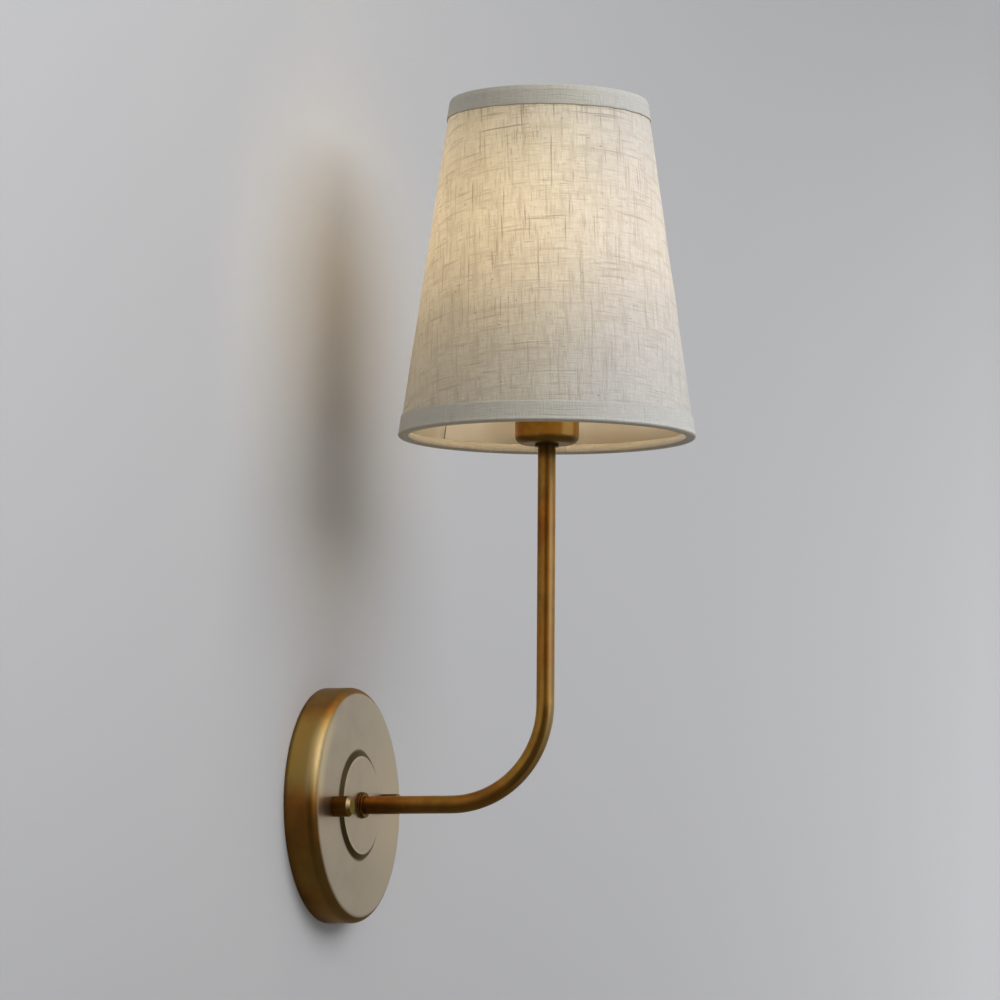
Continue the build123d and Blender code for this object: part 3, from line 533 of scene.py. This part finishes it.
# ================================================================ cloth
YARN_W = 0.0006
THICK_YARN_W = 0.0010
BUNDLE_W = 0.0017
SWAY = 0.0022  # how far the yarns wander sideways

THICK_YARN_BUMP = 1.4  # times the fine weave's
LINEN_LET_THROUGH = 0.36
LINING_LET_THROUGH = 0.5
YARNS_LIT_Z = (0.205, 0.285, 0.5, 1.0)  # painted backlight: the thick yarns are painted darker round the bulb's height, as its light shows them through the cloth
YARNS_LIT_Y = (LAMP_Y - 0.060, LAMP_Y, 0.65, 1.0)
# The linen's painted glow: emission for the bulb's light through it, fading towards the top and away from the
# wall, stronger on the patch facing the wall.
LINEN_GLOW = 0.31
GLOW_Z = ((0.212, 0.295), (0.318, 0.362, 1.0, 0.35))
GLOW_Y = (LAMP_Y - 0.055, LAMP_Y - 0.008)
WALLWARD = (0.17, 0.985)  # (x, y)
GLOW_WALLWARD = (0.86, 0.96, 1.0, 2.2)
NEAR_WALL_Y = (LAMP_Y - 0.058, LAMP_Y + 0.025)
NEAR_WALL_WARM_LIGHT = (1.0, 0.96, 0.86, 1)  # painted warm light on the linen's side by the wall
AIRY_Y = (LAMP_Y - 0.015, LAMP_Y - 0.060)
AWAY_COOL_LIGHT = (0.94, 0.97, 1.08, 1)  # painted cool light on the linen's side away from the wall
# Painted shade on the hems' underside.
HEM_SHADE_FACING_Z = (-0.10, -0.70)
HEM_UNDER_SHADE = (0.68, 0.62, 0.52, 1)
DOUBLED = (cos(radians(58)), sin(radians(58)))  # the way to where the lining lies double
DOUBLED_FAR = (LAMP_Y * DOUBLED[1] + 0.0690, LAMP_Y * DOUBLED[1] + 0.0715)
# The lining's painted glow where it lies double, and on its side by the wall.
DOUBLED_GLOW = 0.10
WALL_GLOW_Y = (LAMP_Y + 0.030, LAMP_Y + 0.060, 0.0, 0.05)


def yarn_runs(look, across, along, width, pitch, thin, thick, seed):
    """Where single yarns of a width run thick: 1 on a thick run's middle line, fading at its ends."""
    at = look.math("DIVIDE", across, width)
    ridge = look.times(look.math("PINGPONG", at, 0.5), 2.0)
    spot = look.add("ShaderNodeCombineXYZ")
    look.put(spot.inputs[0], look.times(look.math("FLOOR", at), 5.37))
    look.put(spot.inputs[1], look.times(along, pitch))
    look.put(spot.inputs[2], seed)
    swell = look.add("ShaderNodeTexNoise")
    look.put(swell.inputs["Vector"], spot.outputs[0])
    look.put(swell.inputs["Scale"], 1.0)
    look.put(swell.inputs["Detail"], 2.0)
    return look.times(look.ramp(swell.outputs["Fac"], thin, thick), look.ramp(ridge, 0.0, 0.8))


def threads(look, place):
    """Linen yarn on the flat cloth, each from 0 to 1: fine weave, bundles of yarn, thick yarns, flecks."""
    warp = look.noise(place, (1250, 150, 1), detail=1.0, move=(11, 5, 0))
    weft = look.noise(place, (150, 1250, 1), detail=1.0, move=(1, 17, 0))
    fine = look.times(look.plus(warp, weft), 0.5)
    sway = look.times(look.noise(place, (40, 40, 1), detail=2.0, move=(4, 4, 0)), SWAY)
    u, v = (look.plus(axis, sway) for axis in look.axes(place)[:2])
    warp_set = look.noise(place, (230, 40, 1), detail=3.0, roughness=0.6, move=(7, 3, 0))
    weft_set = look.noise(place, (34, 260, 1), detail=3.0, roughness=0.6, move=(9, 21, 0))
    bundle = look.most(
        look.ramp(warp_set, 0.48, 0.70, 0.0, 0.7),
        look.ramp(weft_set, 0.48, 0.70, 0.0, 0.7),
        yarn_runs(look, u, v, BUNDLE_W, 34.0, 0.52, 0.70, 5.0),
        yarn_runs(look, v, u, BUNDLE_W, 34.0, 0.54, 0.72, 6.0),
    )
    crowd = look.ramp(look.noise(place, (42, 42, 1), detail=1.0, move=(2, 8, 0)), 0.38, 0.60, 0.25, 1.0)
    short = look.most(
        yarn_runs(look, u, v, YARN_W, 95.0, 0.58, 0.72, 1.0),
        yarn_runs(look, v, u, YARN_W, 100.0, 0.60, 0.74, 2.0),
    )
    long_run = look.most(
        yarn_runs(look, u, v, THICK_YARN_W, 27.0, 0.57, 0.71, 3.0),
        yarn_runs(look, v, u, THICK_YARN_W, 20.0, 0.59, 0.73, 4.0),
    )
    slub = look.most(look.times(short, crowd), long_run)
    fleck = look.noise(place, (350, 600, 1), detail=2.0, roughness=0.7, move=(5, 9, 0))
    return look.ramp(fine, 0.30, 0.70), bundle, slub, look.ramp(fleck, 0.67, 0.75)


def linen():
    """The shade's outer cloth, with the bulb's light painted in: a painted glow, strongest on the side by the
    wall, its thick yarns painted darker where the bulb shines through them, and painted warm and cool light on
    its two sides.
    """
    look = Look("linen")
    place = look.cloth_place()
    fine, bundle, slub, fleck = threads(look, place)
    y, height = look.axes(look.place())[1:3]
    slub = look.times(slub, look.within(height, YARNS_LIT_Z), look.within(y, YARNS_LIT_Y))
    cloud = look.ramp(look.noise(place, (38, 38, 1), detail=3.0, roughness=0.6), *CLOUDS)
    colour = look.layered(
        look.mix(fine, (0.70, 0.675, 0.615, 1), (0.79, 0.77, 0.72, 1)),
        (bundle, 0.45, (0.57, 0.53, 0.45, 1)),
        (slub, 0.55, (0.34, 0.285, 0.20, 1)),
        (fleck, 0.85, (0.13, 0.10, 0.065, 1)),
    )
    let_through = look.layered(
        look.mix(fine, (0.69, 0.66, 0.58, 1), (0.83, 0.81, 0.73, 1)),
        (bundle, 0.75, (0.43, 0.37, 0.25, 1)),
        (cloud, 0.35, (0.54, 0.49, 0.38, 1)),
        (slub, 0.85, (0.20, 0.13, 0.06, 1)),
        (fleck, 0.6, (0.12, 0.085, 0.05, 1)),
    )
    # painted warm light on the side by the wall
    near_wall = look.ramp(y, *NEAR_WALL_Y)
    colour = look.tinted(near_wall, colour, NEAR_WALL_WARM_LIGHT)
    # painted cool light on the side away from the wall
    colour = look.tinted(look.ramp(y, *AIRY_Y), colour, AWAY_COOL_LIGHT)
    facing_x, facing_y = look.facing()[:2]
    wallward = look.reach(facing_x, facing_y, WALLWARD)
    # painted glow
    glow = look.times(
        LINEN_GLOW, look.within(height, *GLOW_Z), look.within(y, GLOW_Y),
        look.within(wallward, GLOW_WALLWARD),
    )
    warmth = look.mix(near_wall, (1.0, 0.89, 0.72, 1), (0.87, 0.67, 0.345, 1))
    normal = look.bump(look.plus(fine, look.times(slub, THICK_YARN_BUMP)), 0.00025, 0.6)
    front = look.principled(
        Base_Color=colour, Roughness=0.9, Normal=normal, Sheen_Weight=0.15, Specular_IOR_Level=0.2,
        Emission_Color=look.multiplied(let_through, warmth), Emission_Strength=glow,
    )
    return look.finish(look.shared(LINEN_LET_THROUGH, front, look.translucent(let_through)))


def lining():
    """The cream lining, with a painted glow: a little on its side by the wall, and more where it lies double
    at its seam.
    """
    look = Look("lining")
    place = look.cloth_place()
    grain = look.noise(place, (500, 500, 1), detail=2.0)
    cloud = look.noise(place, (30, 30, 1), detail=2.0)
    x, y = look.axes(look.place())[:2]
    doubled = look.ramp(look.reach(x, y, DOUBLED), *DOUBLED_FAR)
    front = look.principled(
        Base_Color=look.mix(look.ramp(cloud, *CLOUDS), (0.84, 0.75, 0.60, 1), (0.90, 0.83, 0.69, 1)),
        Roughness=0.7, Normal=look.bump(grain, 0.00005, 0.4), Emission_Color=(1.0, 0.93, 0.80, 1),
        Emission_Strength=look.plus(look.ramp(y, *WALL_GLOW_Y), look.times(doubled, DOUBLED_GLOW)),
    )
    through = look.translucent((0.90, 0.87, 0.80, 1))
    return look.finish(look.shared(LINING_LET_THROUGH, front, through))


def hem_cloth():
    """The hems' linen tape, which no light shows through."""
    look = Look("hem_cloth")
    fine, bundle, slub, fleck = threads(look, look.cloth_place())
    colour = look.layered(
        look.mix(fine, (0.535, 0.505, 0.43, 1), (0.585, 0.555, 0.48, 1)),
        (bundle, 0.25, (0.46, 0.43, 0.36, 1)),
        (slub, 0.22, (0.28, 0.24, 0.18, 1)),
        (fleck, 0.5, (0.15, 0.12, 0.08, 1)),
    )
    y = look.axes(look.place())[1]
    # painted cool light on the hems' side away from the wall
    colour = look.tinted(look.ramp(y, *AIRY_Y), colour, AWAY_COOL_LIGHT)
    # painted shade on the hems' underside
    colour = look.tinted(look.ramp(look.facing()[2], *HEM_SHADE_FACING_Z), colour, HEM_UNDER_SHADE)
    return look.finish(look.principled(
        Base_Color=colour, Roughness=0.92, Normal=look.bump(look.plus(fine, slub), 0.0002, 0.6),
        Sheen_Weight=0.15, Specular_IOR_Level=0.2,
    ))


# ================================================================ cloth meshes
ROUND = 288  # columns round the shade
LINEN_ROWS = 120
LINING_ROWS = 60
CLOTH_MIDDLE = radians(214)  # side of the shade, from +X, where the threads stand upright
LINEN_SEAM = CLOTH_MIDDLE - pi
LINING_SEAM = radians(57)
SEAM_W = 0.012
SEAM_STEPS = 4
SEAM_EDGE_W = 0.0006
PRESSED = 0.25  # how much of a seam's lift is left under the hems
PRESSED_FADE = 0.006
LINEN_WAVE = 0.0003
LINING_WAVE = 0.0001
WAVES_ROUND = 6  # how close the waves come round the shade and up it
WAVES_UP = 40
HEM_DRIFT = 0.00035  # how far a hem's edge wanders up and down
HEM_SWELL = 0.00012
HEM_WAVES = 9
HEM_SWELL_WAVES = 2.3  # times as close as the drift's
HEM_END_T = 0.8  # of the hem's thickness, where its end starts to round
HEM_END_BEVEL = 0.0001
HEM_END_ROUND = 0.0006
HEM_FIRST_ROW = 0.0016
HEM_ROW = 0.0012
ROLL_STEPS = 6
ROLL_BACK_STEPS = 3
SLIT_LEFT = 0.02  # how much of the inner lap is left at a slit
SLIT_OUTER = 0.0005  # how far from the inner face its two sides end there
SLIT_BACK = 0.0015


def mesh_piece(name, points, faces, places, material):
    """A mesh object with a "cloth" map: each point's place on the flat cloth."""
    mesh = bpy.data.meshes.new(name)
    mesh.from_pydata(points, [], faces)
    layer = mesh.uv_layers.new(name="cloth")
    for loop in mesh.loops:
        layer.data[loop.index].uv = places[loop.vertex_index]
    mesh.materials.append(material)
    for face in mesh.polygons:
        face.use_smooth = True
    return add_object(name, mesh)


def on_shade(angle, radius, z):
    return (radius * cos(angle), LAMP_Y + radius * sin(angle), z)


def flat_place(turn, z):
    """Place on the flat cone pattern, turn being the angle from its middle."""
    far = shade_r(z) / CONE_SINE
    return (far * sin(turn * CONE_SINE), -far * cos(turn * CONE_SINE))


def cone_sheet(name, seam, inset, rows, overlap, wave, material, edge):
    """One open cone of cloth. Its end laps over its start and finishes in a strip of the edge material."""
    points, places, faces = [], [], []
    low, high = SHADE_Z + HEM_ROLL, SHADE_TOP_Z - HEM_ROLL
    lap = SEAM_W / SHADE_BOTTOM_R
    turns = [i / ROUND * 2 * pi for i in range(ROUND + 1)]
    turns += [2 * pi + lap * k / SEAM_STEPS for k in range(1, SEAM_STEPS + 1)]
    turns.append(2 * pi + lap + SEAM_EDGE_W / SHADE_BOTTOM_R)
    for i in range(rows + 1):
        z = low + (high - low) * i / rows
        from_hem = min(z - SHADE_Z, SHADE_TOP_Z - z) - HEM_H
        pressed = min(1.0, max(PRESSED, PRESSED + (1 - PRESSED) * from_hem / PRESSED_FADE))
        for turn in turns:
            angle = seam + turn
            lifted = pressed * overlap * min(1.0, max(0.0, (turn - 2 * pi + lap) / lap))
            ripple = wave * noise.noise(
                Vector((WAVES_ROUND * cos(angle), WAVES_ROUND * sin(angle), z * WAVES_UP))
            )
            points.append(on_shade(angle, shade_r(z, inset) + lifted + ripple, z))
            places.append(flat_place(turn - pi, z))
    wide = len(turns)
    for i in range(rows):
        for j in range(wide - 1):
            a = i * wide + j
            faces.append((a, a + 1, a + wide + 1, a + wide))
    piece = mesh_piece(name, points, faces, places, material)
    piece.data.materials.append(edge)
    for row in range(rows):
        piece.data.polygons[row * (wide - 1) + wide - 2].material_index = 1
    return piece


def hem_profile(edge, way):
    """(radius, height) round the hem's section, whole and slit; way is +1 at the lower rim, -1 at the top."""
    wire_z = edge + way * (HEM_T + GLUE + WIRE_R)
    layers = LINEN_T + LINING_T + 2 * GLUE
    inside = shade_r(wire_z, layers + GLUE + WIRE_R) - WIRE_R - GLUE - HEM_T
    outside = shade_r(edge, -GLUE - HEM_T)
    end = edge + way * HEM_H
    lap = edge + way * HEM_LAP

    def roll(middle, radius, start, finish, steps):
        """An arc of the rim's roll, its angles counted from the outside downwards."""
        arc = []
        for k in range(steps + 1):
            turn = start + (finish - start) * k / steps
            arc.append((middle + radius * cos(turn), edge + way * (HEM_ROLL - radius * sin(turn))))
        return arc

    outer = [
        (shade_r(end, -GLUE), end),
        (shade_r(end, -GLUE - HEM_T * HEM_END_T), end - way * HEM_END_BEVEL),
        (shade_r(end - way * HEM_END_ROUND, -GLUE - HEM_T), end - way * HEM_END_ROUND),
    ]
    z = end - way * HEM_FIRST_ROW
    while way * (z - edge) > HEM_ROLL:
        outer.append((shade_r(z, -GLUE - HEM_T), z))
        z -= way * HEM_ROW
    outer += roll(outside - HEM_ROLL, HEM_ROLL, 0, pi / 2, ROLL_STEPS)
    inner = roll(inside + HEM_ROLL, HEM_ROLL, pi / 2, pi, ROLL_STEPS)
    inner.append((inside, wire_z + way * WIRE_R / 2))
    inner.append((shade_r(lap, layers + GLUE + HEM_T), lap))
    inner.append((shade_r(lap, layers + GLUE), lap))
    back = [(inside + HEM_T, wire_z + way * WIRE_R / 2)]
    back += roll(inside + HEM_ROLL, HEM_ROLL - HEM_T, pi, pi / 2, ROLL_BACK_STEPS)
    back += roll(outside - HEM_ROLL, HEM_ROLL - HEM_T, pi / 2, 0, ROLL_BACK_STEPS)
    slit_z = edge + way * HEM_T

    def drawn_up(spots, end_r):
        """The inner lap cut back to the roll, where a spider arm comes through."""
        cut = []
        for r, z in spots:
            if way * (z - slit_z) > 0 and r < inside + HEM_ROLL:
                r, z = end_r + (r - end_r) * SLIT_LEFT, slit_z + (z - slit_z) * SLIT_LEFT
            cut.append((r, z))
        return cut

    slit = outer + drawn_up(inner, inside + SLIT_OUTER) + drawn_up(back, inside + SLIT_BACK)
    return outer + inner + back, slit


def hem(name, edge, way, material, arms=()):
    """A hem tape folded over the rim's wire and slit at each spider arm; its outer edge wanders a little."""
    profile, slit = hem_profile(edge, way)
    slit_columns = {(round(arm / 360 * ROUND) + k) % ROUND for arm in arms for k in (-1, 0, 1)}
    points, places, faces = [], [], []
    along = 0.0
    lengths = []
    for (ra, za), (rb, zb) in zip(profile, profile[1:] + profile[:1]):
        lengths.append(along)
        along += sqrt((rb - ra) ** 2 + (zb - za) ** 2)
    for j in range(ROUND):
        angle = j / ROUND * 2 * pi
        spot = Vector((HEM_WAVES * cos(angle), HEM_WAVES * sin(angle), 3 * way))
        drift = HEM_DRIFT * noise.noise(spot)
        swell = HEM_SWELL * noise.noise(spot * HEM_SWELL_WAVES)
        for (r, z), s in zip(slit if j in slit_columns else profile, lengths):
            free = max(0.0, way * (z - edge) / HEM_H)
            points.append(on_shade(angle, r + swell * (1 - free), z + drift * free))
            places.append((angle * SHADE_BOTTOM_R, s))
    n = len(profile)
    for j in range(ROUND):
        k = (j + 1) % ROUND
        for i in range(n):
            m = (i + 1) % n
            faces.append((j * n + i, k * n + i, k * n + m, j * n + m))
    piece = mesh_piece(name, points, faces, places, material)
    layer = piece.data.uv_layers["cloth"]
    for face in piece.data.polygons[(ROUND - 1) * n:]:  # the last column closes the ring
        for loop in face.loop_indices:
            if layer.data[loop].uv[0] < pi * SHADE_BOTTOM_R:
                layer.data[loop].uv[0] += 2 * pi * SHADE_BOTTOM_R
    return piece


linen_cloth = linen()
hem_look = hem_cloth()
# the lining's seam edge: a darker strip, a painted shadow of its lapped edge
seam_shadow_edge = moulded("seam_shadow_edge", rgb(112, 92, 60), 0.8)
linen_piece = cone_sheet(
    "linen_shade", LINEN_SEAM, 0.0, LINEN_ROWS, LINEN_T, LINEN_WAVE, linen_cloth, hem_look
)
lining_piece = cone_sheet(
    "shade_lining", LINING_SEAM, LINEN_T + GLUE + LINING_T, LINING_ROWS, -2 * LINING_T, LINING_WAVE,
    lining(), seam_shadow_edge,
)
bottom_hem = hem("bottom_hem", SHADE_Z, 1, hem_look)
top_hem = hem("top_hem", SHADE_TOP_Z, -1, hem_look, arms=SPIDER_ARMS)

for piece, node, slot in (
    (linen_piece, "shade_fabric", "linen"),
    (lining_piece, "shade_liner", "lining"),
    (bottom_hem, "shade_bottom_band", "band_cloth"),
    (top_hem, "shade_top_band", "band_cloth"),
):
    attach(piece, "shade")
    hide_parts(node)

# ================================================================ finishes of the CAD nodes
finishes = {
    "aged_brass": aged_brass("aged_brass"),
    "shaded_brass": aged_brass("shaded_brass", 0.80),
    "deep_shaded_brass": aged_brass("deep_shaded_brass", 0.97),
    "zinc_steel": plain_metal("zinc_steel", rgb(150, 152, 155), rgb(196, 198, 200), 0.34),
    "contact_brass": plain_metal("contact_brass", rgb(196, 160, 88), rgb(226, 192, 118), 0.28),
    "bulb_metal": plain_metal("bulb_metal", rgb(186, 186, 186), rgb(222, 222, 222), 0.25),
    "green_screw": moulded("green_screw", rgb(52, 120, 66), 0.35, Metallic=0.6),
    "earth_sleeve": moulded("earth_sleeve", rgb(72, 150, 60), 0.45),
    "black_sleeve": moulded("black_sleeve", rgb(34, 33, 33), 0.5),
    "white_sleeve": moulded("white_sleeve", rgb(228, 226, 220), 0.5),
    "connector_plastic": moulded("connector_plastic", rgb(214, 110, 34), 0.42),
    "white_plastic": moulded("white_plastic", rgb(236, 233, 225), 0.38),
    "white_ceramic": moulded("white_ceramic", rgb(232, 229, 221), 0.2, Coat_Weight=0.6),
    "bulb_insulation": moulded("bulb_insulation", rgb(26, 22, 26), 0.12),
    "board": moulded("board", rgb(232, 231, 224), 0.6),
    "white_wire": moulded("white_wire", rgb(232, 229, 221), 0.34),
    "frosted_glass": frosted_glass(),
}
by_finish = {
    "aged_brass": ["backplate", "arm_tube", "lamp_cup"],
    "shaded_brass": ["arm_collar", "thumb_nut_left", "thumb_nut_right"],
    "deep_shaded_brass": ["seat_ring"],
    "zinc_steel": [
        "wall_bracket", "bracket_stud_left", "bracket_stud_right", "stud_nut_left", "stud_nut_right",
        "arm_washer", "arm_nut", "cup_nut", "terminal_screw_neutral",
    ],
    "contact_brass": ["earth_tab", "earth_terminal", "screw_shell", "centre_contact", "terminal_screw_line"],
    "bulb_metal": ["bulb_cap", "bulb_contact"],
    "green_screw": ["earth_screw"],
    "earth_sleeve": ["earth_lead"],
    "black_sleeve": ["lead_line"],
    "white_sleeve": ["lead_neutral"],
    "connector_plastic": ["wire_connector_line", "wire_connector_neutral"],
    "white_plastic": ["arm_bushing", "holder_base", "holder_sleeve", "bulb_housing", "shade_ring_nut"],
    "white_ceramic": ["holder_insert"],
    "bulb_insulation": ["bulb_insulator"],
    "board": ["led_board"],
    "white_wire": ["shade_bottom_wire", "shade_top_frame"],
    "frosted_glass": ["bulb_globe"],
}
for finish, names in by_finish.items():
    for name in names:
        nodes[name].data.materials.clear()
        nodes[name].data.materials.append(finishes[finish])

# ================================================================ stage
WALL_Y = 0.0003
WALL_SIZE = 5.0
FLOOR_Z = -1.8
OPENING_R = PLATE_R * 0.94
OPENING_STEPS = 96
BULB_AT = (0.010, 0.0, 0.235)  # the middle of the painted pool of the bulb's warm light on the wall
BULB_REACH = (0.19, 0.03)
BULB_LIGHT_PAINT = (1.24, 1.18, 1.08, 1)
TONE_X_ENDS = (-0.38, 1.3)  # the wall's tone is level beyond these
TONE_Z_ENDS = (-0.1, 0.65)
# The wall's painted light and shade, a quadratic of x and z.
TONE_LEVEL = 0.860
TONE_X, TONE_Z = -0.053, 0.307
TONE_XX, TONE_XZ, TONE_ZZ = 0.294, -0.461, -0.552


def wall_painted_light(look, place):
    """The wall's painted light and shade: a quadratic of x and z over the part of it round the lamp, with a
    painted pool of the bulb's warm light.
    """
    x, y, z = look.axes(place)
    x = look.most(look.math("MINIMUM", x, TONE_X_ENDS[1]), TONE_X_ENDS[0])
    z = look.most(look.math("MINIMUM", z, TONE_Z_ENDS[1]), TONE_Z_ENDS[0])
    across = look.times(x, look.plus(look.times(x, TONE_XX), look.times(z, TONE_XZ), TONE_X))
    upward = look.times(z, look.plus(look.times(z, TONE_ZZ), TONE_Z))
    tone = look.plus(across, upward, TONE_LEVEL)
    away = look.add("ShaderNodeVectorMath", operation="DISTANCE")
    look.put(away.inputs[0], place)
    look.put(away.inputs[1], BULB_AT)
    # a painted pool of the bulb's warm light
    warm = look.mix(look.ramp(away.outputs["Value"], *BULB_REACH), WHITE, BULB_LIGHT_PAINT)
    return look.multiplied(tone, warm)


def seen_from_front(name, colour, tone=None):
    """A wall or floor finish that is clear from behind, so that no view is blocked."""
    look = Look(name)
    place = look.place()
    patch = look.noise(place, (2.0, 2.0, 2.0), detail=2.0)
    dim = tuple(c * 0.97 for c in colour[:3]) + (1.0,)
    shown = look.mix(patch, dim, colour)
    if tone:
        shown = look.multiplied(shown, tone(look, place))
    paint = look.principled(Base_Color=shown, Roughness=0.85, Specular_IOR_Level=0.2)
    behind = look.add("ShaderNodeNewGeometry").outputs["Backfacing"]
    clear = look.add("ShaderNodeBsdfTransparent").outputs[0]
    return look.finish(look.shared(behind, paint, clear))


def wall_mesh():
    """A square wall with a round opening that the backplate covers, as over a box in the wall."""
    points, faces = [], []
    for i in range(OPENING_STEPS):
        angle = i / OPENING_STEPS * 2 * pi
        c, s = cos(angle), sin(angle)
        reach = WALL_SIZE / 2 / max(abs(c), abs(s))
        points.append((OPENING_R * c, WALL_Y, OPENING_R * s))
        points.append((reach * c, WALL_Y, reach * s))
    for i in range(OPENING_STEPS):
        a, b = 2 * i, 2 * ((i + 1) % OPENING_STEPS)
        faces.append((a, a + 1, b + 1, b))
    mesh = bpy.data.meshes.new("wall")
    mesh.from_pydata(points, [], faces)
    return mesh


def floor_mesh():
    half = WALL_SIZE / 2
    corners = [(-half, -WALL_SIZE), (half, -WALL_SIZE), (half, 0), (-half, 0)]
    mesh = bpy.data.meshes.new("floor")
    mesh.from_pydata([(x, y, FLOOR_Z) for x, y in corners], [], [(0, 1, 2, 3)])
    return mesh


wall = add_object("wall", wall_mesh())
wall.data.materials.append(seen_from_front("wall_paint", rgb(193, 192, 194), wall_painted_light))
if wall.data.polygons[0].normal.y > 0:
    wall.data.flip_normals()
floor = add_object("floor", floor_mesh())
floor.data.materials.append(seen_from_front("floor_paint", rgb(205, 205, 205)))

# ================================================================ light
WORLD_STRENGTH = 1.15
AIR_BELOW = (0.13, 0.125, 0.12, 1)
AIR_LEVEL = (0.36, 0.365, 0.37, 1)
AIR_LEVEL_AT = 0.55
AIR_ABOVE = (0.30, 0.31, 0.32, 1)
DARK_WAY = (-0.98, -0.18, 0.05)  # towards the darker side of the room
DARK_SPREAD = (0.70, 0.98, 1.0, 0.30)
WARM_WAY = (-1.0, 0.1, 0.0)
WARM_SPREAD = (0.0, 0.8)
WARM_TINT = (1.06, 0.97, 0.80, 1)
KEY_POWER = 66.0
SIDE_POWER = 3.0
FAR_POWER = 2.4

world = bpy.data.worlds.new("room")
bpy.context.scene.world = world
world.use_nodes = True
room = Tree(world.node_tree)
background = world.node_tree.nodes["Background"]
way = room.add("ShaderNodeTexCoord").outputs["Generated"]
height = room.add("ShaderNodeMapRange")
room.put(height.inputs["Value"], room.axes(way)[2])
room.put(height.inputs["From Min"], -1.0)
air = room.add("ShaderNodeValToRGB")
room.put(air.inputs["Fac"], height.outputs["Result"])
air.color_ramp.elements[0].color = AIR_BELOW
air.color_ramp.elements[1].color = AIR_ABOVE
air.color_ramp.elements.new(AIR_LEVEL_AT).color = AIR_LEVEL
dark_side = room.ramp(room.dot(way, DARK_WAY), *DARK_SPREAD)
warm_side = room.ramp(room.dot(way, WARM_WAY), *WARM_SPREAD)
shown_air = room.multiplied(air.outputs["Color"], dark_side)
room.put(background.inputs["Color"], room.mix(warm_side, shown_air, WARM_TINT, "MULTIPLY"))
room.put(background.inputs["Strength"], WORLD_STRENGTH)


def area_light(name, place, aim, size, power, colour):
    data = bpy.data.lights.new(name, "AREA")
    data.shape = "RECTANGLE"
    data.size, data.size_y = size
    data.energy = power
    data.color = colour
    lamp = add_object(name, data)
    lamp.location = place
    lamp.rotation_mode = "QUATERNION"
    lamp.rotation_quaternion = (Vector(aim) - Vector(place)).to_track_quat("-Z", "Y")


middle = (0, LAMP_Y, 0.15)
area_light("key", (-0.15, -2.3, 1.65), middle, (2.7, 2.1), KEY_POWER, (0.97, 0.99, 1.0))
area_light("side", (-1.05, -2.25, 0.35), middle, (0.8, 1.5), SIDE_POWER, (1.0, 1.0, 1.0))
area_light("far_side", (2.1, -0.95, 0.25), (0, 0, 0), (1.5, 1.8), FAR_POWER, (0.86, 0.94, 1.0))

# ================================================================ camera
CAMERA_AZIMUTH = radians(-69.19)
CAMERA_FAR = 2.6
CAMERA_CENTRE_Y = -0.060
CAMERA_Z = -0.1137
CAMERA_YAW = radians(-0.66)
CAMERA_PITCH = radians(5.91)
CAMERA_ROLL = radians(0.40)
CAMERA_LENS = 184.49
CAMERA_SENSOR = 36
CAMERA_CLIP = 0.05

view_turn = CAMERA_AZIMUTH + CAMERA_YAW
forward = Vector((
    -sin(view_turn) * cos(CAMERA_PITCH), cos(view_turn) * cos(CAMERA_PITCH), sin(CAMERA_PITCH)
))
level_right = Vector((cos(view_turn), sin(view_turn), 0))
level_up = level_right.cross(forward)
right = level_right * cos(CAMERA_ROLL) + level_up * sin(CAMERA_ROLL)
up = level_up * cos(CAMERA_ROLL) - level_right * sin(CAMERA_ROLL)
camera = add_object("camera", bpy.data.cameras.new("camera"))
camera.data.lens = CAMERA_LENS
camera.data.sensor_width = CAMERA_SENSOR
camera.data.clip_start = CAMERA_CLIP
camera.location = (
    sin(CAMERA_AZIMUTH) * CAMERA_FAR, CAMERA_CENTRE_Y - cos(CAMERA_AZIMUTH) * CAMERA_FAR, CAMERA_Z
)
camera.rotation_mode = "QUATERNION"
camera.rotation_quaternion = Matrix((right, up, -forward)).transposed().to_quaternion()
bpy.context.scene.camera = camera
bpy.context.scene.view_settings.view_transform = "Standard"
